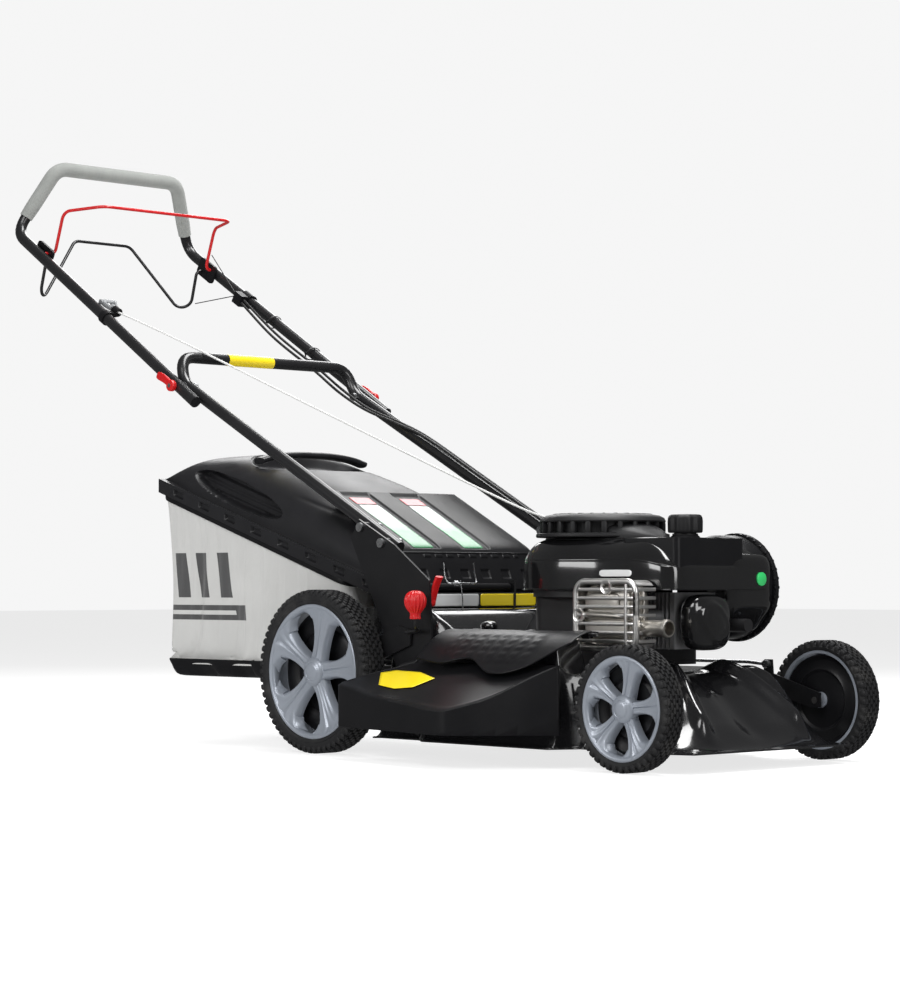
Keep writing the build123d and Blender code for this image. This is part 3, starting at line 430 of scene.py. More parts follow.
LID_PLASTIC = finish_of("bag lid plastic", (0.018, 0.018, 0.020), (0.010, 0.010, 0.011), 0.34, 0.06, 1300, 0.06,
                        Specular_IOR_Level=0.35)
CAP_PLASTIC = finish_of("dull cap plastic", (0.016, 0.016, 0.017), (0.009, 0.009, 0.010), 0.5, 0.05, 1800, 0.06,
                        Specular_IOR_Level=0.35)
RIM_SILVER = finish_of("rim lacquer", (0.36, 0.39, 0.44), (0.29, 0.32, 0.37), 0.34, 0.05, 1600, 0.02, cloud=22,
                       Metallic=0.35, Coat_Weight=0.4, Coat_Roughness=0.15)
CAST_BLACK = finish_of("black cast alloy", (0.030, 0.030, 0.032), (0.014, 0.014, 0.015), 0.5, 0.1, 520, 0.25,
                       Metallic=0.3)
CAST_BARE = finish_of("bare cast alloy", (0.52, 0.52, 0.53), (0.36, 0.36, 0.37), 0.42, 0.1, 420, 0.2, Metallic=0.9)
ZINC = finish_of("zinc plate", (0.66, 0.67, 0.68), (0.45, 0.46, 0.47), 0.28, 0.1, 300, 0.03, cloud=140, Metallic=1.0)
STEEL = finish_of("turned steel", (0.55, 0.54, 0.53), (0.38, 0.37, 0.36), 0.32, 0.08, 500, 0.03, cloud=60,
                  Metallic=1.0)
RED = finish_of("red plastic", (0.62, 0.012, 0.014), (0.46, 0.006, 0.008), 0.30, 0.05, 1400, 0.04)
RED_PAINT = finish_of("red bail paint", (0.60, 0.014, 0.016), (0.45, 0.008, 0.010), 0.26, 0.05, 900, 0.02,
                      Coat_Weight=0.5, Coat_Roughness=0.1)
GREY_PLASTIC = finish_of("grey grip plastic", (0.25, 0.26, 0.27), (0.18, 0.185, 0.19), 0.42, 0.06, 1400, 0.05)
BELT_RUBBER = finish_of("belt rubber", (0.022, 0.021, 0.020), (0.012, 0.012, 0.012), 0.72, 0.06, 1600, 0.1)
print("finishes so far:", len(bpy.data.materials))


# %% [markdown]
# Tyre rubber is never clean black: dust settles in low places and dulls it, so a coarse noise lightens the
# colour a little and a second, finer one roughens it. Foam on the bar is full of small cells, which a Voronoi
# pattern gives. The guard is pressed from aluminised sheet, so its fine scratches run one way: noise stretched
# along one axis.

# %% Rubber, foam, brushed guard
def tyre_rubber():
    """Colour: dust where coarse noise is over a half. Roughness: 0.5 + noise / 4. Bump: fine noise, 0.15 mm."""
    finish = Finish("tyre rubber", Specular_IOR_Level=0.35)
    dust = finish.add("MapRange", None, {0: finish.noise(30, 5.0), 1: 0.5, 2: 0.75})
    finish.feed("Base Color", finish.blend(dust, (0.013, 0.013, 0.014), (0.034, 0.033, 0.032)))
    finish.feed("Roughness", finish.noise(240, 3.0) * 0.25 + 0.5)
    finish.feed("Normal", finish.lift(finish.noise(900, 3.0), 0.15, 0.5))
    return finish.material


def bar_foam():
    """Roughness and bump from Voronoi cells 1.1 mm apart, colour from clouds of noise."""
    finish = Finish("bar foam", Sheen_Weight=0.2, Sheen_Roughness=0.6)
    cells = finish.add("TexVoronoi", None, {"Vector": finish.spot(), "Scale": 900.0})
    finish.feed("Base Color", finish.blend(finish.noise(40, 4.0), (0.20, 0.21, 0.20), (0.28, 0.29, 0.275)))
    finish.feed("Roughness", cells * 0.2 + 0.72)
    finish.feed("Normal", finish.lift(cells, 0.35, 0.5))
    return finish.material


def brushed(name, light, dark, rough, stretch, **constants):
    """Scratches: noise on coordinates that are squeezed along one axis."""
    finish = Finish(name, Metallic=1.0, **constants)
    along = finish.add("Mapping", None, {"Vector": finish.spot(), "Scale": stretch})
    scratch = finish.noise(60, 4.0, vector=along)
    finish.feed("Base Color", finish.blend(finish.noise(35, 4.0), dark, light))
    finish.feed("Roughness", scratch * 0.25 + rough)
    finish.feed("Normal", finish.lift(scratch, 0.06, 0.4))
    return finish.material


def printed(name, ground, ink, low, high, axis, softness=0.3):
    """A label: ground colour that fades into ink between two places along one axis, with specks. No writing."""
    finish = Finish(name, Coat_Weight=0.6, Coat_Roughness=0.12)
    value = finish.axes(finish.spot())["xyz".index(axis)]
    share = finish.add("MapRange", None, {0: value, 1: float(low), 2: float(high)})
    speck = finish.noise(120, 3.0) * 0.06
    finish.feed("Base Color", finish.blend(share + speck, ground, ink))
    finish.feed("Roughness", finish.noise(60, 2.0) * 0.15 + softness)
    return finish.material


TYRE = tyre_rubber()
FOAM = bar_foam()
GUARD_METAL = brushed("guard sheet", (0.90, 0.89, 0.87), (0.74, 0.73, 0.71), 0.2, (3, 30, 60))
MUFFLER_METAL = brushed("aluminised muffler", (0.80, 0.77, 0.72), (0.58, 0.55, 0.50), 0.22, (8, 40, 30))
YELLOW = printed("yellow label", (0.95, 0.74, 0.01), (0.88, 0.64, 0.01), 0, 2000, "z")
WHITE_LABEL = printed("white label", (0.75, 0.76, 0.76), (0.62, 0.63, 0.64), 0, 1200, "z")
GREEN_LABEL = printed("green sticker", (0.02, 0.42, 0.10), (0.03, 0.55, 0.14), 270, 310, "z")
GREEN_FADE = printed("fading green label", (0.70, 0.75, 0.72), (0.01, 0.20, 0.06), -80, 20, "x")
RED_LABEL = printed("red label end", (0.42, 0.03, 0.04), (0.34, 0.02, 0.03), 0, 1200, "z")


# %% [markdown]
# ## Tyres
# The tyre is a hollow rubber hoop with six rows of small blocks and a lug at each shoulder. The hoop is a
# closed profile turned round the axle. The blocks are one small chamfered block, shaped once and repeated round
# by a turn: a bump map would leave the outline of the tyre smooth, and it is the outline that shows the tread.

# %% Tyres
TREAD_DEPTH, ROWS_OF_BLOCKS, BLOCK_PITCH = 3.6, 6, 14
LUG_HALF_LENGTH, LUG_HALF_WIDTH = 4.6, 3.2


def block(x, z, radius, y, width, length, height):
    """A chamfered block on top of a wheel: four rings, the widest at the foot, the last gathered to a point."""
    corner = np.array([(-1, -1), (1, -1), (1, 1), (-1, 1)]) / 2
    rings = [
        np.concatenate([corner * (length * s, width * s), np.full((4, 1), up)], axis=1)
        for s, up in ((1, 0), (0.98, height * 0.75), (0.84, height), (0, height))
    ]
    points = np.stack(rings)
    return grid(points + (x, y, z + radius - height), False, True)


def make_tyre(x, z, inner, outer, side, radius, rim_radius):
    """Hoop profile: bead, bulged wall, shoulder and flat tread, mirrored about the middle of the width."""
    half, middle = (outer - inner) / 2, side * (inner + outer) / 2
    ground = radius - TREAD_DEPTH
    wall = [(rim_radius, half - 2.5), (rim_radius + 3, half - 0.6), (rim_radius + 6, half - 0.2),
            (rim_radius + 7, half - 1.2), (ground - 10, half - 0.6), (ground - 5, half - 1.2),
            (ground - 2, half - 3.2), (ground, half - 7)]
    profile = wall + [(r, -y) for r, y in reversed(wall)]
    shapes = [turned(profile, (x, middle, z), count=120, closed=True)]
    pitch = 2 * half / (ROWS_OF_BLOCKS + 1)
    count = int(2 * np.pi * radius / BLOCK_PITCH)
    for row in range(ROWS_OF_BLOCKS):
        y = middle + (row - (ROWS_OF_BLOCKS - 1) / 2) * pitch
        one = block(x, z, radius - 0.2, y, pitch * 0.78, 10.0, TREAD_DEPTH)
        shapes.append(around(one, count, (x, y, z), start=np.pi / count * (row % 2)))
    for s in (-1, 1):
        y = middle + s * (half - 3.4)
        low = (x - LUG_HALF_LENGTH, y - LUG_HALF_WIDTH, z + ground - 9)
        high = (x + LUG_HALF_LENGTH, y + LUG_HALF_WIDTH, z + radius - 1.2)
        lug = pillow(low, high, 6, 7, 12)
        shapes.append(around(lug, count, (x, middle, z)))
    return together(*shapes)


WHEELS = {
    "rear": dict(x=0.0, z=142.0, inner=248.0, outer=298.0, radius=142.0, rim=117.0, hub=25.0),
    "front": dict(x=700.0, z=100.0, inner=220.0, outer=262.0, radius=100.0, rim=83.0, hub=22.0),
}
SIDES = {"right": -1, "left": 1}
for end, w in WHEELS.items():
    for side, s in SIDES.items():
        shape = make_tyre(w["x"], w["z"], w["inner"], w["outer"], s, w["radius"], w["rim"])
        piece(f"{end}_tyre_tread_{side}", shape, f"{end}_wheel_{side}", TYRE, [f"{end}_tyre_{side}"])
    print(end, "tyre quads", len(shape[1]))


# %% [markdown]
# ## Rims
# A moulded rim with five spokes that flare into the hoop, so the windows between them are egg shaped. Each
# spoke is one closed ring carried out from the hub: its half width grows as the flare, its front face has a
# shallow V down the middle and its sides slope back into the wheel. Cutting windows from a disc would leave
# sharp saw-like edges; sweeping the spokes gives the curve itself. A dished dust cover closes the inner side.

# %% Rims
SPOKES = 5
FLARE = [(0.16, 0.135), (0.3, 0.118), (0.45, 0.122), (0.6, 0.145), (0.74, 0.19), (0.85, 0.26), (0.93, 0.36),
         (0.99, 0.50)]


def make_spoke(x, z, face, side, reach):
    """Rings across the spoke at each radius: half width from the flare, depth 15 mm, front bowed in by 5 mm
    half way."""
    share, width = spline(FLARE, 26).T
    radius, half = share[:, None] * reach, width[:, None] * reach
    across = np.concatenate([np.linspace(-1, 1, 15), np.linspace(1.18, -1.18, 6)])
    front = np.arange(len(across)) < 15
    valley = 2.6 * np.exp(-((across / 0.09) ** 2))
    grooves = 1.6 * np.exp(-(((np.abs(across) - 0.5) / 0.1) ** 2))
    crown = 2.2 * (1 - across**2) - valley - grooves
    bow = -5.0 * np.sin(np.pi * np.clip(share[:, None], 0, 1) ** 0.8)
    depth = np.where(front, bow + crown - 1.5 * (np.abs(across) > 0.97), bow - 15.0)
    sideways = across * half
    out = np.sqrt(np.maximum(radius**2 - sideways**2, 0)) * (share[:, None] > 0.8) + radius * (share[:, None] <= 0.8)
    points = np.stack([x + sideways, np.broadcast_to(side * (face + depth), sideways.shape), z + out], axis=-1)
    points = np.concatenate([points[:1].mean(axis=1, keepdims=True).repeat(len(across), 1), points,
                             points[-1:].mean(axis=1, keepdims=True).repeat(len(across), 1)])
    return grid(points, False, True)


def make_rim(x, z, inner, outer, side, rim_radius, hub):
    """Hoop, hub dome and axle stub are turned profiles; the spokes reach from the hub to 5 mm inside the rim."""
    centre = (x, 0, z)
    reach = rim_radius - 5
    face = outer - 5
    hoop = [(rim_radius - 0.2, inner + 3), (rim_radius - 0.2, outer - 3.2), (rim_radius - 1.6, outer - 2),
            (rim_radius - 5, outer - 2.2), (rim_radius - 8, outer - 4), (rim_radius - 10, outer - 9),
            (rim_radius - 9, outer - 20), (rim_radius - 5, outer - 24), (rim_radius - 5, inner + 3)]
    dome = [(0, outer - 1.2), (hub * 0.32, outer - 1.3), (hub * 0.58, outer - 1.8), (hub * 0.62, outer - 2.7),
            (hub * 0.66, outer - 2.0), (hub * 0.9, outer - 4), (hub, outer - 8), (hub * 1.04, outer - 18),
            (0, outer - 18)]
    stub = [(0, inner + 4), (hub * 0.6, inner + 4), (hub * 0.6, outer - 17), (0, outer - 17)]
    rings = [turned([(r, side * y) for r, y in line], centre, count=96, closed=line is hoop)
             for line in (hoop, dome, stub)]
    spokes = around(make_spoke(x, z, face, side, reach), SPOKES, centre, start=np.radians(12))
    return together(*rings, spokes)


def make_dust_cover(x, z, inner, side, rim_radius, hub):
    """A dished disc: nearly flat near the hub, a raised bead at two thirds, and a turned edge inside the hoop."""
    reach = rim_radius - 8
    line = [(hub * 0.62, 9), (reach * 0.4, 10), (reach * 0.62, 12), (reach * 0.68, 9), (reach * 0.74, 12.5),
            (reach * 0.92, 14), (reach, 9)]
    front = [(r, side * (inner + y)) for r, y in line]
    back = [(r, side * (inner + y + 2)) for r, y in reversed(line)]
    return turned(front + back, (x, 0, z), count=96, closed=True)


for end, w in WHEELS.items():
    for side, s in SIDES.items():
        rim = make_rim(w["x"], w["z"], w["inner"], w["outer"], s, w["rim"], w["hub"])
        dust_cover = make_dust_cover(w["x"], w["z"], w["inner"], s, w["rim"], w["hub"])
        body = f"{end}_wheel_{side}"
        piece(f"{end}_rim_spoked_{side}", rim, body, RIM_SILVER, [f"{end}_rim_{side}"], sharp=45)
        piece(f"{end}_dust_cover_{side}", dust_cover, body, GRAINED)


# %% [markdown]
# ## Deck
# The deck is one sheet of steel, pressed deep and enamelled. It rises from a thin outward lip in soft waves: a
# high plateau under the engine, a shoulder at the back right where the cuttings turn into the bag, a long slope
# at the nose with two ridges that fan out from the engine. It is drawn as a height over the plan: the distance
# to each edge gives the rise, and ridges are added where a line in plan passes. Solidify gives the sheet its
# 2.5 mm.

# %% Deck skin
DECK_LIP, DECK_PLATEAU = 31.5, 150.0
DECK_BACK, DECK_FRONT = 95.0, 790.0
SHAFT_X, SHAFT_HOLE = 418, 50


def half_width(x):
    """Half the deck's width at x: 238 by the rear wheels, 262 amidships, 207 by the front wheels, 188 at the nose."""
    return np.interp(x, [95, 214, 244, 541, 568, 745, 790], [238, 238, 262, 262, 207, 207, 188])


def bump(x, low, high, soft):
    """1 between low and high, eased down to 0 over a soft distance on each side."""
    return eased((x - low) / soft + 0.5) * eased((high - x) / soft + 0.5)


def deck_height(x, y):
    """Lip + (plateau - lip) x rise, plus a rear shoulder, a hump by the chute, and ridges and a valley at
    the nose."""
    side = half_width(x) - np.abs(y)
    nose = (DECK_FRONT - x) / 165
    crown = 0.16 * eased(nose * 3.2) + 0.84 * eased(nose * 1.0)
    rise = crown * eased(side / np.interp(x, [95, 540, 600, 790], [30, 30, 60, 110])) * eased((x - DECK_BACK) / 26)
    right_end = np.interp(x, [200, 262], [-206, -170])
    shoulder = 101 * (1 - eased((x - 168) / 150)) * eased((y - right_end) / 52 + 0.5) * eased((118 - y) / 60 + 0.5)
    hump = 54 * bump(x, 262, 538, 14) * bump(y, -239, -172, 14)
    spread = 58 + 62 * eased((x - 600) / 170)
    ridge = 20 * np.exp(-(((np.abs(y) - spread) / 13) ** 2)) * bump(x, 600, 768, 60)
    outer = 15 * np.exp(-(((np.abs(y) - spread * 1.62) / 13) ** 2)) * bump(x, 630, 772, 50)
    valley = -10 * np.exp(-((y / 34) ** 2)) * bump(x, 640, 770, 70) + outer
    rib = 5 * np.exp(-(((np.abs(y) - 150) / 9) ** 2)) * bump(x, 585, 700, 40)
    detail = (ridge + valley + rib) * eased(rise * 3)
    return DECK_LIP + (DECK_PLATEAU - DECK_LIP) * rise + (shoulder + hump) * rise + detail


def make_deck():
    """Columns run from the middle line to the lip; they crowd towards the lip, where the sheet turns fastest."""
    x = np.concatenate([np.linspace(95, 140, 16)[:-1], np.linspace(140, 560, 90)[:-1],
                        np.linspace(560, 790, 76)])[:, None]
    share = np.concatenate([np.linspace(0, 0.7, 46)[:-1], np.linspace(0.7, 1, 34)])
    share = np.concatenate([-share[::-1], share[1:]])
    y = share * half_width(x)
    x = np.broadcast_to(x, y.shape)
    points, quads = grid(np.stack([x, y, deck_height(x, y)], axis=-1))
    middle = points[quads].mean(axis=1)
    shaft = np.hypot(middle[:, 0] - SHAFT_X, middle[:, 1]) < SHAFT_HOLE
    into_bag = (middle[:, 0] < 128) & (middle[:, 1] > -146) & (middle[:, 1] < 76) & (middle[:, 2] > 70)
    into_chute = (
        (middle[:, 0] > 268) & (middle[:, 0] < 528) & (middle[:, 1] < -250)
        & (middle[:, 2] > 62) & (middle[:, 2] < 130)
    )
    return points, quads[~(shaft | into_bag | into_chute)]


deck = piece("deck_pressing", make_deck(), "chassis", ENAMEL, ["deck"], wall=2.5, sharp=60)
print("deck quads", len(deck.data.polygons))

# %% [markdown]
# The lip of a pressed deck is rolled, so the hand meets a round edge and not a cut sheet. A small round bar
# carried along the outline at the lip gives that edge and the thin bright line it draws at the nose.

# %% Rolled lip
def deck_outline(inset, count=420):
    """The plan outline from the back left, round the nose, to the back right, as one open line."""
    x = np.linspace(DECK_BACK + 3, DECK_FRONT - inset, count // 2)
    left = np.stack([x, half_width(x) - inset, np.full_like(x, DECK_LIP - 0.6)], axis=1)
    right = left[::-1] * (1, -1, 1)
    nose_y = np.linspace(left[-1, 1], right[0, 1], 40)[1:-1]
    nose = np.stack([np.full_like(nose_y, DECK_FRONT - inset), nose_y, np.full_like(nose_y, DECK_LIP - 0.6)], axis=1)
    return np.concatenate([left, nose, right])


lip = swept(deck_outline(1.6), oval(1.6, 1.4, 8))
piece("deck_rolled_lip", lip, "chassis", ENAMEL)

# %% [markdown]
# ## Side chute and its flap
# The chute is one moulding: a sloping top that hugs the deck, a rounded outer rim, and a wall that sweeps in
# towards the front like a breaking wave. Its skin is a grid from the deck line out to the rim and down the
# wall. The flap above it is a curved sheet, wavy along its free edge, with a raised panel, slots by the hinge
# and three hinge barrels.

# %% Side chute
def chute_top(x, y):
    """The top falls 28 degrees outwards, with a gentle dish and a wave that lifts the front end."""
    out = (-262 - y) / 138
    return 165 - 74 * out - 5 * np.sin(np.pi * np.clip(out, 0, 1)) * bump(x, 190, 540, 90)


def make_chute():
    """Rows run from the deck line out to the rim, a spline in plan, and then down the wall."""
    rim = spline([(571, -263.5), (535, -300), (496, -352), (460, -386), (428, -398), (330, -380), (220, -361),
                  (140, -345),
                  (121, -338), (124, -331), (140, -320), (162, -304), (200, -282), (238, -263.5)], 150)
    root = np.stack([np.interp(np.linspace(0, 1, 150), [0, 0.56, 0.63, 1], [571, 246, 240, 238]),
                     np.full(150, -262.6)], axis=1)
    share = np.concatenate([np.linspace(0, 0.965, 26), np.full(12, 1.0)])
    plan = root[:, None] + (rim - root)[:, None] * share[:, None]
    top = np.minimum(chute_top(plan[..., 0], plan[..., 1]), 164.5)
    edge = chute_top(rim[:, 0], rim[:, 1])[:, None]
    down = np.concatenate([np.zeros(26), np.array([1, 3, 6, 11, 18, 26, 34, 42, 52, 64, 80, 120])])
    z = np.where(share < 1, top + 1.2 * np.exp(-(((share - 0.94) / 0.03) ** 2)), np.maximum(edge - down, 53.5))
    return grid(np.concatenate([plan, z[..., None]], axis=-1))


piece("side_chute_moulding", make_chute(), "chassis", GRAINED, ["side_chute"], wall=3.0, sharp=50)

# %% Side flap
SIDE_FLAP_BACK, SIDE_FLAP_FRONT = 257, 583
FLAP_ARC = [(-186, 217.4), (-200, 218.2), (-216, 216.4), (-236, 209), (-256, 196.5), (-274, 181), (-290, 165),
            (-303, 150.5)]


def make_side_flap():
    """Rows follow the arc from the hinge to the free edge; the free edge is held back in one broad wave along x."""
    x = np.linspace(SIDE_FLAP_BACK, SIDE_FLAP_FRONT, 110)
    arc = spline(FLAP_ARC, 44)
    reach = spline([(0, 0.80, 0), (0.1, 0.86, 0), (0.34, 0.80, 0), (0.66, 1.0, 0), (0.84, 0.90, 0), (1, 0.52, 0)],
                   110)[:, 1]
    share = np.linspace(0, 1, 44)[:, None] * reach
    y = np.interp(share, np.linspace(0, 1, 44), arc[:, 0])
    z = np.interp(share, np.linspace(0, 1, 44), arc[:, 1])
    panel = bump(x, 320, 520, 16) * bump(share * 100, 34, 82, 10)
    brick = (np.sin(x / 4.2) > -0.2) * (np.sin(share * 62) > -0.1)
    z = z + 1.3 * panel + 0.7 * panel * brick - 2.2 * bump(share * 100, 12, 22,
                                                           5) * (np.sin((x - SIDE_FLAP_BACK) / 13) > 0.55)
    points = np.stack([np.broadcast_to(x, y.shape), y, z], axis=-1)
    return grid(points)


piece("side_flap_moulding", make_side_flap(), "side_flap", GRAINED, ["side_flap"], wall=2.4,
      sharp=50)
barrels = [turned([(0, a), (6.6, a), (7, a + 1), (7, a + 15), (6.6, a + 16), (0, a + 16)], (0, -180, 212), "x", 28)
           for a in (286, 420, 544)]
piece("side_flap_barrels", together(*barrels), "side_flap", GRAINED)
print("deck and chute done")

# %% [markdown]
# A yellow sticker lies on the chute, cut with pointed ends. It's left plain. A sticker is a thin sheet that
# follows what it lies on, so its points take their height from the same formula as the chute's top, plus 2.2 mm
# to stay clear of it.

# %% Chute sticker
STICKER_LIFT = 2.2


def make_chute_sticker():
    """A six-sided outline filled from its middle, laid on the chute's top."""
    outline = np.array([(186, -300), (214, -330), (262, -338), (300, -332), (326, -306), (276, -292), (214, -290)],
                       float)
    middle = outline.mean(axis=0)
    t = np.linspace(0, len(outline), 140, endpoint=False)
    k = t.astype(int)
    edge = outline[k] + (outline[(k + 1) % len(outline)] - outline[k]) * (t - k)[:, None]
    share = np.linspace(0, 1, 10)[:, None, None]
    plan = middle + (edge - middle) * share
    z = chute_top(plan[..., 0], plan[..., 1]) + STICKER_LIFT
    return grid(np.concatenate([plan, z[..., None]], axis=-1), False, True)


piece("chute_sticker", make_chute_sticker(), "chassis", YELLOW, wall=0.3)


# %% [markdown]
# ## Engine cover
# The cover is a polished black moulding over the flywheel and the tank. In plan it is a rounded block joined to
# a round drum, and every side leans into the top over a broad shoulder. It is drawn ring by ring: one ring is
# how far that plan reaches in each direction, and the rings shrink and rise along a shoulder curve. The front
# end is lower than the drum.

# %% Cover outline and shoulder
COVER_MIDDLE = np.array([500.0, 14.0])
STARTER_X, DRUM_REACH = 415.0, 119.0


def cover_reach(angle, grow=0.0):
    """How far the cover's plan reaches from its middle: the further of a rounded block and the flywheel drum."""
    ray = np.stack([np.cos(angle), np.sin(angle)], axis=-1)
    low, high = np.array([332.0, -111.5]), np.array([671.5, 149.5])
    centre, half = (low + high) / 2 - COVER_MIDDLE, (high - low) / 2
    reach = np.linspace(30, 240, 800)
    spot = np.abs((ray[..., None, :] * reach[:, None] - centre) / half)
    block_reach = reach[np.argmax((spot**9).sum(axis=-1) > 1, axis=-1)]
    drum = np.array([STARTER_X, 0.0]) - COVER_MIDDLE
    along = ray @ drum
    under = along**2 - drum @ drum + DRUM_REACH**2
    drum_reach = np.where(under > 0, along + np.sqrt(np.maximum(under, 0)), 0)
    smooth = 8
    return (block_reach**smooth + drum_reach**smooth) ** (1 / smooth) * 0.992 + grow


def make_cover():
    """Rings: shrink s and rise z along the shoulder; the front sinks by up to 26 mm, and a crease runs at
    the shoulder."""
    angle = np.linspace(0, 2 * np.pi, 300, endpoint=False)
    reach = cover_reach(angle)
    reach = sum(np.roll(reach, k) for k in range(-2, 3)) / 5
    shoulder = np.array([(0, 284), (0, 285), (0.4, 300), (1, 318), (2.2, 330), (3.4, 333), (3.6, 335), (9, 346),
                         (16, 355),
                         (25, 362.5), (36, 367.5), (38.5, 368), (40, 369.4), (60, 370.6), (90, 371.2), (150, 371.5)])
    inset, height = spline(shoulder, 64).T
    ring = np.maximum(reach - inset[:, None], 0.0)
    x = COVER_MIDDLE[0] + ring * np.cos(angle)
    y = COVER_MIDDLE[1] + ring * np.sin(angle)
    drop = 26 * eased((x - 585) / 95) * eased((height[:, None] - 300) / 70)
    z = np.broadcast_to(height[:, None], x.shape) - drop
    points = np.stack([x, y, z], axis=-1)
    middle = points[-1].mean(axis=0)
    rest = points[-1] + (middle - points[-1]) * np.linspace(0.25, 1, 4)[:, None, None]
    return grid(np.concatenate([points, rest]), False, True)


piece("engine_cover", make_cover(), "chassis", GLOSS, ["engine_shroud"], wall=2.6, sharp=42)

# %% [markdown]
# The starter sits on the cover under a dull black cage. Air for cooling goes in between its ribs, so the ribs
# stand free in front of a dark drum. A fairing runs off its front side. Ribs are one soft bar repeated by a
# turn.

# %% Starter cage
def make_starter_cage():
    """Foot ring and cap, 24 ribs between them, 24 short bars on the cap, and an inner drum behind."""
    x = STARTER_X
    foot = [(92, 372), (112, 372), (113.5, 374), (113, 378), (108, 379.5), (92, 379.5)]
    cap = [(84, 398), (106, 398), (107, 400), (104, 405.5), (96, 409.5), (82, 411.8), (60, 412.8), (56, 411.4),
           (54, 412.8), (0, 412.9), (0, 398)]
    drum = [(0, 376), (93, 376), (93, 399), (0, 399)]
    bar = pillow((x + 97, -4.6, 377), (x + 106.5, 4.6, 400.5), 5, 9, 14)
    bars = around(bar, 24, (x, 0, 0), "z")
    slots = around(pillow((x + 62, -2.6, 410.4), (x + 84, 2.6, 412.9), 4, 7, 12), 24, (x, 0, 0), "z")
    parts = [turned(foot, (x, 0, 0), "z", 110, closed=True), turned(cap, (x, 0, 0), "z", 110),
             turned(drum, (x, 0, 0), "z", 80)]
    return together(*parts, bars, slots)


def make_cage_fairing():
    """A half teardrop: rings across x that shrink from the cage's width to nothing, flat below."""
    share = np.linspace(0, 1, 30)[:, None]
    angle = np.linspace(0, np.pi, 25)
    width = 62 * (1 - share**2.2) ** 0.8
    tall = 34 * (1 - share**1.6) + 1.5
    x = 470 + 92 * share
    points = np.stack(np.broadcast_arrays(x, -6 + width * np.cos(angle), 369.5 + tall * np.sin(angle) ** 0.7),
                      axis=-1)
    ends = points[[0, -1]].mean(axis=1, keepdims=True).repeat(25, axis=1)
    return grid(np.concatenate([ends[:1], points, ends[1:]]), False, True)


piece("starter_cage", make_starter_cage(), "chassis", CAP_PLASTIC, ["recoil_cover"], sharp=40)
piece("starter_cage_fairing", make_cage_fairing(), "chassis", CAP_PLASTIC, sharp=50)

# %% [markdown]
# The fuel cap is turned by gloved fingers, so its side is cut into ten scallops below a rounded top. It is one
# profile turned round the filler, with the radius pulled in ten times on the way round.

# %% Fuel cap
CAP_SPOT = (562.0, 45.0, 0.0)
cap_side = [(20, 379), (27.5, 379), (29, 380.5), (29.4, 384), (29.6, 398), (29, 404)]
cap_top = [(29, 404), (27, 408), (23.5, 409.8), (20, 409.3), (18.5, 408.2), (15, 408.6), (0, 409.0)]
skirt = turned(cap_side, CAP_SPOT, "z", 160, flutes=10, flute_depth=0.085)
crown = turned(cap_top, CAP_SPOT, "z", 160, flutes=10, flute_depth=0.05)
neck = turned([(20, 379), (20, 386), (0, 386)], CAP_SPOT, "z", 60)
piece("fuel_cap_scalloped", together(skirt, crown, neck), "fuel_cap", CAP_PLASTIC, ["fuel_cap"],
      sharp=45)
collar = turned([(18.5, 366), (26, 366), (26.5, 369), (24, 373), (21.5, 375), (21.5, 377.6), (18.5, 377.6)], CAP_SPOT,
                "z", 80, closed=True)
piece("filler_collar", collar, "chassis", CAP_PLASTIC)

# %% [markdown]
# ## Hot side: guard, muffler, valve cover
# A pressed guard keeps hands off the muffler. It is a rounded square frame with level bars, wrapped round the
# corner, with two round bosses. The bars are flat ovals carried along a bent line, which is truer than a plate
# with holes, because each edge is rolled and catches the light. Behind it the muffler is two pressed shells
# with a seam, and an outlet pipe.

# %% Muffler guard
GUARD_BACK, GUARD_FRONT, GUARD_OUT, GUARD_IN = 502.0, 643.0, -163.0, -115.0
GUARD_BOTTOM, GUARD_TOP = 185.0, 302.0


def rounded_loop(low, high, radius, count=120):
    """A closed rectangle with round corners, as points in a plane."""
    low, high = np.asarray(low, float), np.asarray(high, float)
    angle = np.linspace(0, 2 * np.pi, count, endpoint=False)
    corner = np.sign(np.stack([np.cos(angle), np.sin(angle)], axis=1)) * ((high - low) / 2 - radius)
    return (low + high) / 2 + corner + radius * np.stack([np.cos(angle), np.sin(angle)], axis=1)


